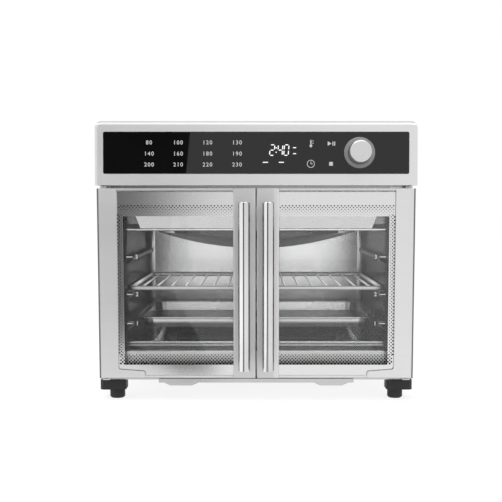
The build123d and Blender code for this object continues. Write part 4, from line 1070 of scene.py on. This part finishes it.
def sign_outlines():
    """Plain generic signs: a thermometer, a clock, start and stop."""
    bulb = round_points(LEFT_SIGNS, BULB_RISE, BULB_RADIUS, BULB_CORNERS)
    thermometer = [bulb, bar_outline(LEFT_SIGNS, STEM_RISE, *STEM)]
    thermometer += [bar_outline(SCALE_PLACE, rise, *SCALE_MARK) for rise in SCALE_RISES]
    clock = ring_outlines(LEFT_SIGNS, LOWER_SIGNS, CLOCK_RADIUS, CLOCK_STROKE)
    clock.append(bar_outline(LEFT_SIGNS, LONG_HAND_RISE, CLOCK_STROKE, LONG_HAND))
    clock.append(bar_outline(SHORT_HAND_PLACE, LOWER_SIGNS, SHORT_HAND, CLOCK_STROKE))
    start = [[(START_LEFT, UPPER_SIGNS - START_HALF), (START_TIP, UPPER_SIGNS),
              (START_LEFT, UPPER_SIGNS + START_HALF)]]
    start += [bar_outline(x, UPPER_SIGNS, *PAUSE_BAR) for x in PAUSE_PLACES]
    stop = [bar_outline(STOP_PLACE, LOWER_SIGNS, STOP_SIZE, STOP_SIZE)]
    return thermometer + clock + start + stop


def print_panel():
    """Preset numbers, a lit time reading and the signs beside it."""
    panel = nodes["control_panel"].data
    stand = max((corner.co - panel_middle).dot(face_normal) for corner in panel.vertices) + PRINT_CLEARANCE

    def on_panel(x, rise):
        return facing(panel_middle + X_AXIS * x + face_up * rise + face_normal * stand, X_AXIS, face_up)

    films = []
    for x, figures in zip(PRESET_COLUMNS, PRESETS):
        for rise, figure in zip(PRESET_ROWS, figures):
            films.append((lettering(figure, PRESET_HEIGHT), on_panel(x, rise)))
    films.append((flat_print("panel_signs", sign_outlines()), on_panel(0, 0)))
    add_print("panel_print", films, PRINT_WHITE_PAINTED_GLOW, "oven")
    lit = []
    for figure, x in READING:
        lit += segment_outlines(figure, x, DIGIT_RISE)
    lit += [round_points(COLON_PLACE, DIGIT_RISE + rise, COLON_RADIUS, COLON_CORNERS) for rise in COLON_RISES]
    lit += [bar_outline(x, rise, *UNIT_BAR) for x, rise in UNIT_PLACES]
    lit += [bar_outline(x, rise, *MODE_BAR) for x, rise in MODE_PLACES]
    digits = flat_print("display_reading", lit)
    add_print("display_reading", [(digits, on_panel(0, 0))], LIT_SIGN, "oven")


# Studio
FLOOR_HALF = 6.0
FLOOR_TONES = (0.33, 0.35)
FLOOR_GRAIN = {"Scale": 40.0, "Detail": 2.0}
FLOOR_GLOW = 0.8
FILL_LEVEL = 0.4
CARD_TONES = (0.07, 0.09)
CARD_GRAIN = {"Scale": 12.0, "Detail": 3.0}
STAGE_ROUGHNESS = 0.9
FRONT_SOFTBOX = (1.075, door_front - 2.3, 1.37)
FRONT_AIM = (1.075, door_front, 1.37)
LEFT_STRIP = (-1.55, door_front - 0.35, 1.15)
LEFT_AIM = (0, door_front, 0.3)
TOP_SOFTBOX = (0, -0.4, 1.9)
TOP_AIM = (0, -0.1, 0)
CAVITY_FILL = (0, door_front + 90 * MM, 229 * MM)
CAVITY_AIM = (0, door_front + 190 * MM, 130 * MM)
CARD_AHEAD = 2.2
CARD_RIGHT_FOOT = -0.319
CARD_RIGHT_TOP = -0.23
CARD_LEFT = -1.0
CARD_HEIGHT = 0.92
SHEET_START = 0.2
SHEET_RIGHT = -0.0605
SHEET_LEFT = -0.123
SHEET_RISE = 0.002


def seen_directly(tree):
    """1 for what the eye, gloss and glass see, and 0 for the light that falls on things."""
    path = add_node(tree, "ShaderNodeLightPath").outputs
    beyond = larger(tree, path["Is Glossy Ray"], path["Is Transmission Ray"])
    return larger(tree, path["Is Camera Ray"], beyond)


def add_stage(name, outlines, tone_pair, grain, glow=None):
    """Flat cards or a floor in an uneven grey; glow is white that only the eye, gloss and glass see."""
    shape = bmesh.new()
    for outline in outlines:
        shape.faces.new([shape.verts.new(corner) for corner in outline])
    stage = bpy.data.objects.new(name, new_mesh(name, shape))
    material, tree, shader, place = new_material(name, Roughness=STAGE_ROUGHNESS, Emission_Color=WHITE)
    dark, pale = (grey(tone) for tone in tone_pair)
    feed(tree, shader, Base_Color=add_mix(tree, add_noise(tree, place, **grain), dark, pale))
    if glow is not None:
        feed(tree, shader, Emission_Strength=multiply(tree, seen_directly(tree), glow))
    stage.data.materials.append(material)
    scene.collection.objects.link(stage)
    return stage


def make_floor():
    """A pale floor that looks white, and keeps the object's shadow."""
    half = FLOOR_HALF
    corners = [(-half, -half, 0), (half, -half, 0), (half, half, 0), (-half, half, 0)]
    add_stage("floor", [corners], FLOOR_TONES, FLOOR_GRAIN, FLOOR_GLOW)


def make_world():
    """White all round to eye, gloss and glass, with an even soft fill."""
    world = bpy.data.worlds.new("studio")
    world.use_nodes = True
    tree = world.node_tree
    light = add_mix(tree, seen_directly(tree), grey(FILL_LEVEL), WHITE)
    tree.links.new(light, tree.nodes["Background"].inputs["Color"])
    scene.world = world


def add_softbox(name, place, aim, width, height, radiance, mirrored=False):
    """A soft rectangular light, turned to its aim, at a plain radiance; mirrored ones show in shiny parts."""
    data = bpy.data.lights.new(name, "AREA")
    data.shape = "RECTANGLE"
    data.size = width
    data.size_y = height
    data.energy = radiance * math.pi * width * height
    light = bpy.data.objects.new(name, data)
    light.location = place
    light.rotation_euler = (Vector(aim) - Vector(place)).to_track_quat("-Z", "Y").to_euler()
    light.visible_camera = False
    light.visible_glossy = mirrored
    scene.collection.objects.link(light)


def hang_flag():
    """A dark card and its sheet, left of the camera, which only the shiny surfaces see."""
    far, near = door_front - CARD_AHEAD, door_front - SHEET_START
    card = [(CARD_RIGHT_FOOT, far, 0.0), (CARD_RIGHT_TOP, far, CARD_HEIGHT), (CARD_LEFT, far, CARD_HEIGHT),
            (CARD_LEFT, far, 0.0)]
    sheet = [(SHEET_RIGHT, near, SHEET_RISE), (CARD_RIGHT_FOOT, far, SHEET_RISE),
             (CARD_LEFT, far, SHEET_RISE), (SHEET_LEFT, near, SHEET_RISE)]
    flag = add_stage("left_flag", [card, sheet], CARD_TONES, CARD_GRAIN)
    flag.visible_camera = False
    flag.visible_diffuse = False
    flag.visible_transmission = False
    flag.visible_shadow = False


def light_studio():
    add_softbox("front_softbox", FRONT_SOFTBOX, FRONT_AIM, width=2.65, height=2.6, radiance=0.8)
    add_softbox("left_strip", LEFT_STRIP, LEFT_AIM, width=0.9, height=2.2, radiance=1.2)
    add_softbox("top_softbox", TOP_SOFTBOX, TOP_AIM, width=1.8, height=1.6, radiance=1.0, mirrored=True)
    add_softbox("cavity_fill", CAVITY_FILL, CAVITY_AIM, width=0.32, height=0.04, radiance=14.0)
    hang_flag()


dress_frame()
make_rack()
make_screws()
print_doors()
print_panel()
make_floor()
make_world()
light_studio()
make_camera()
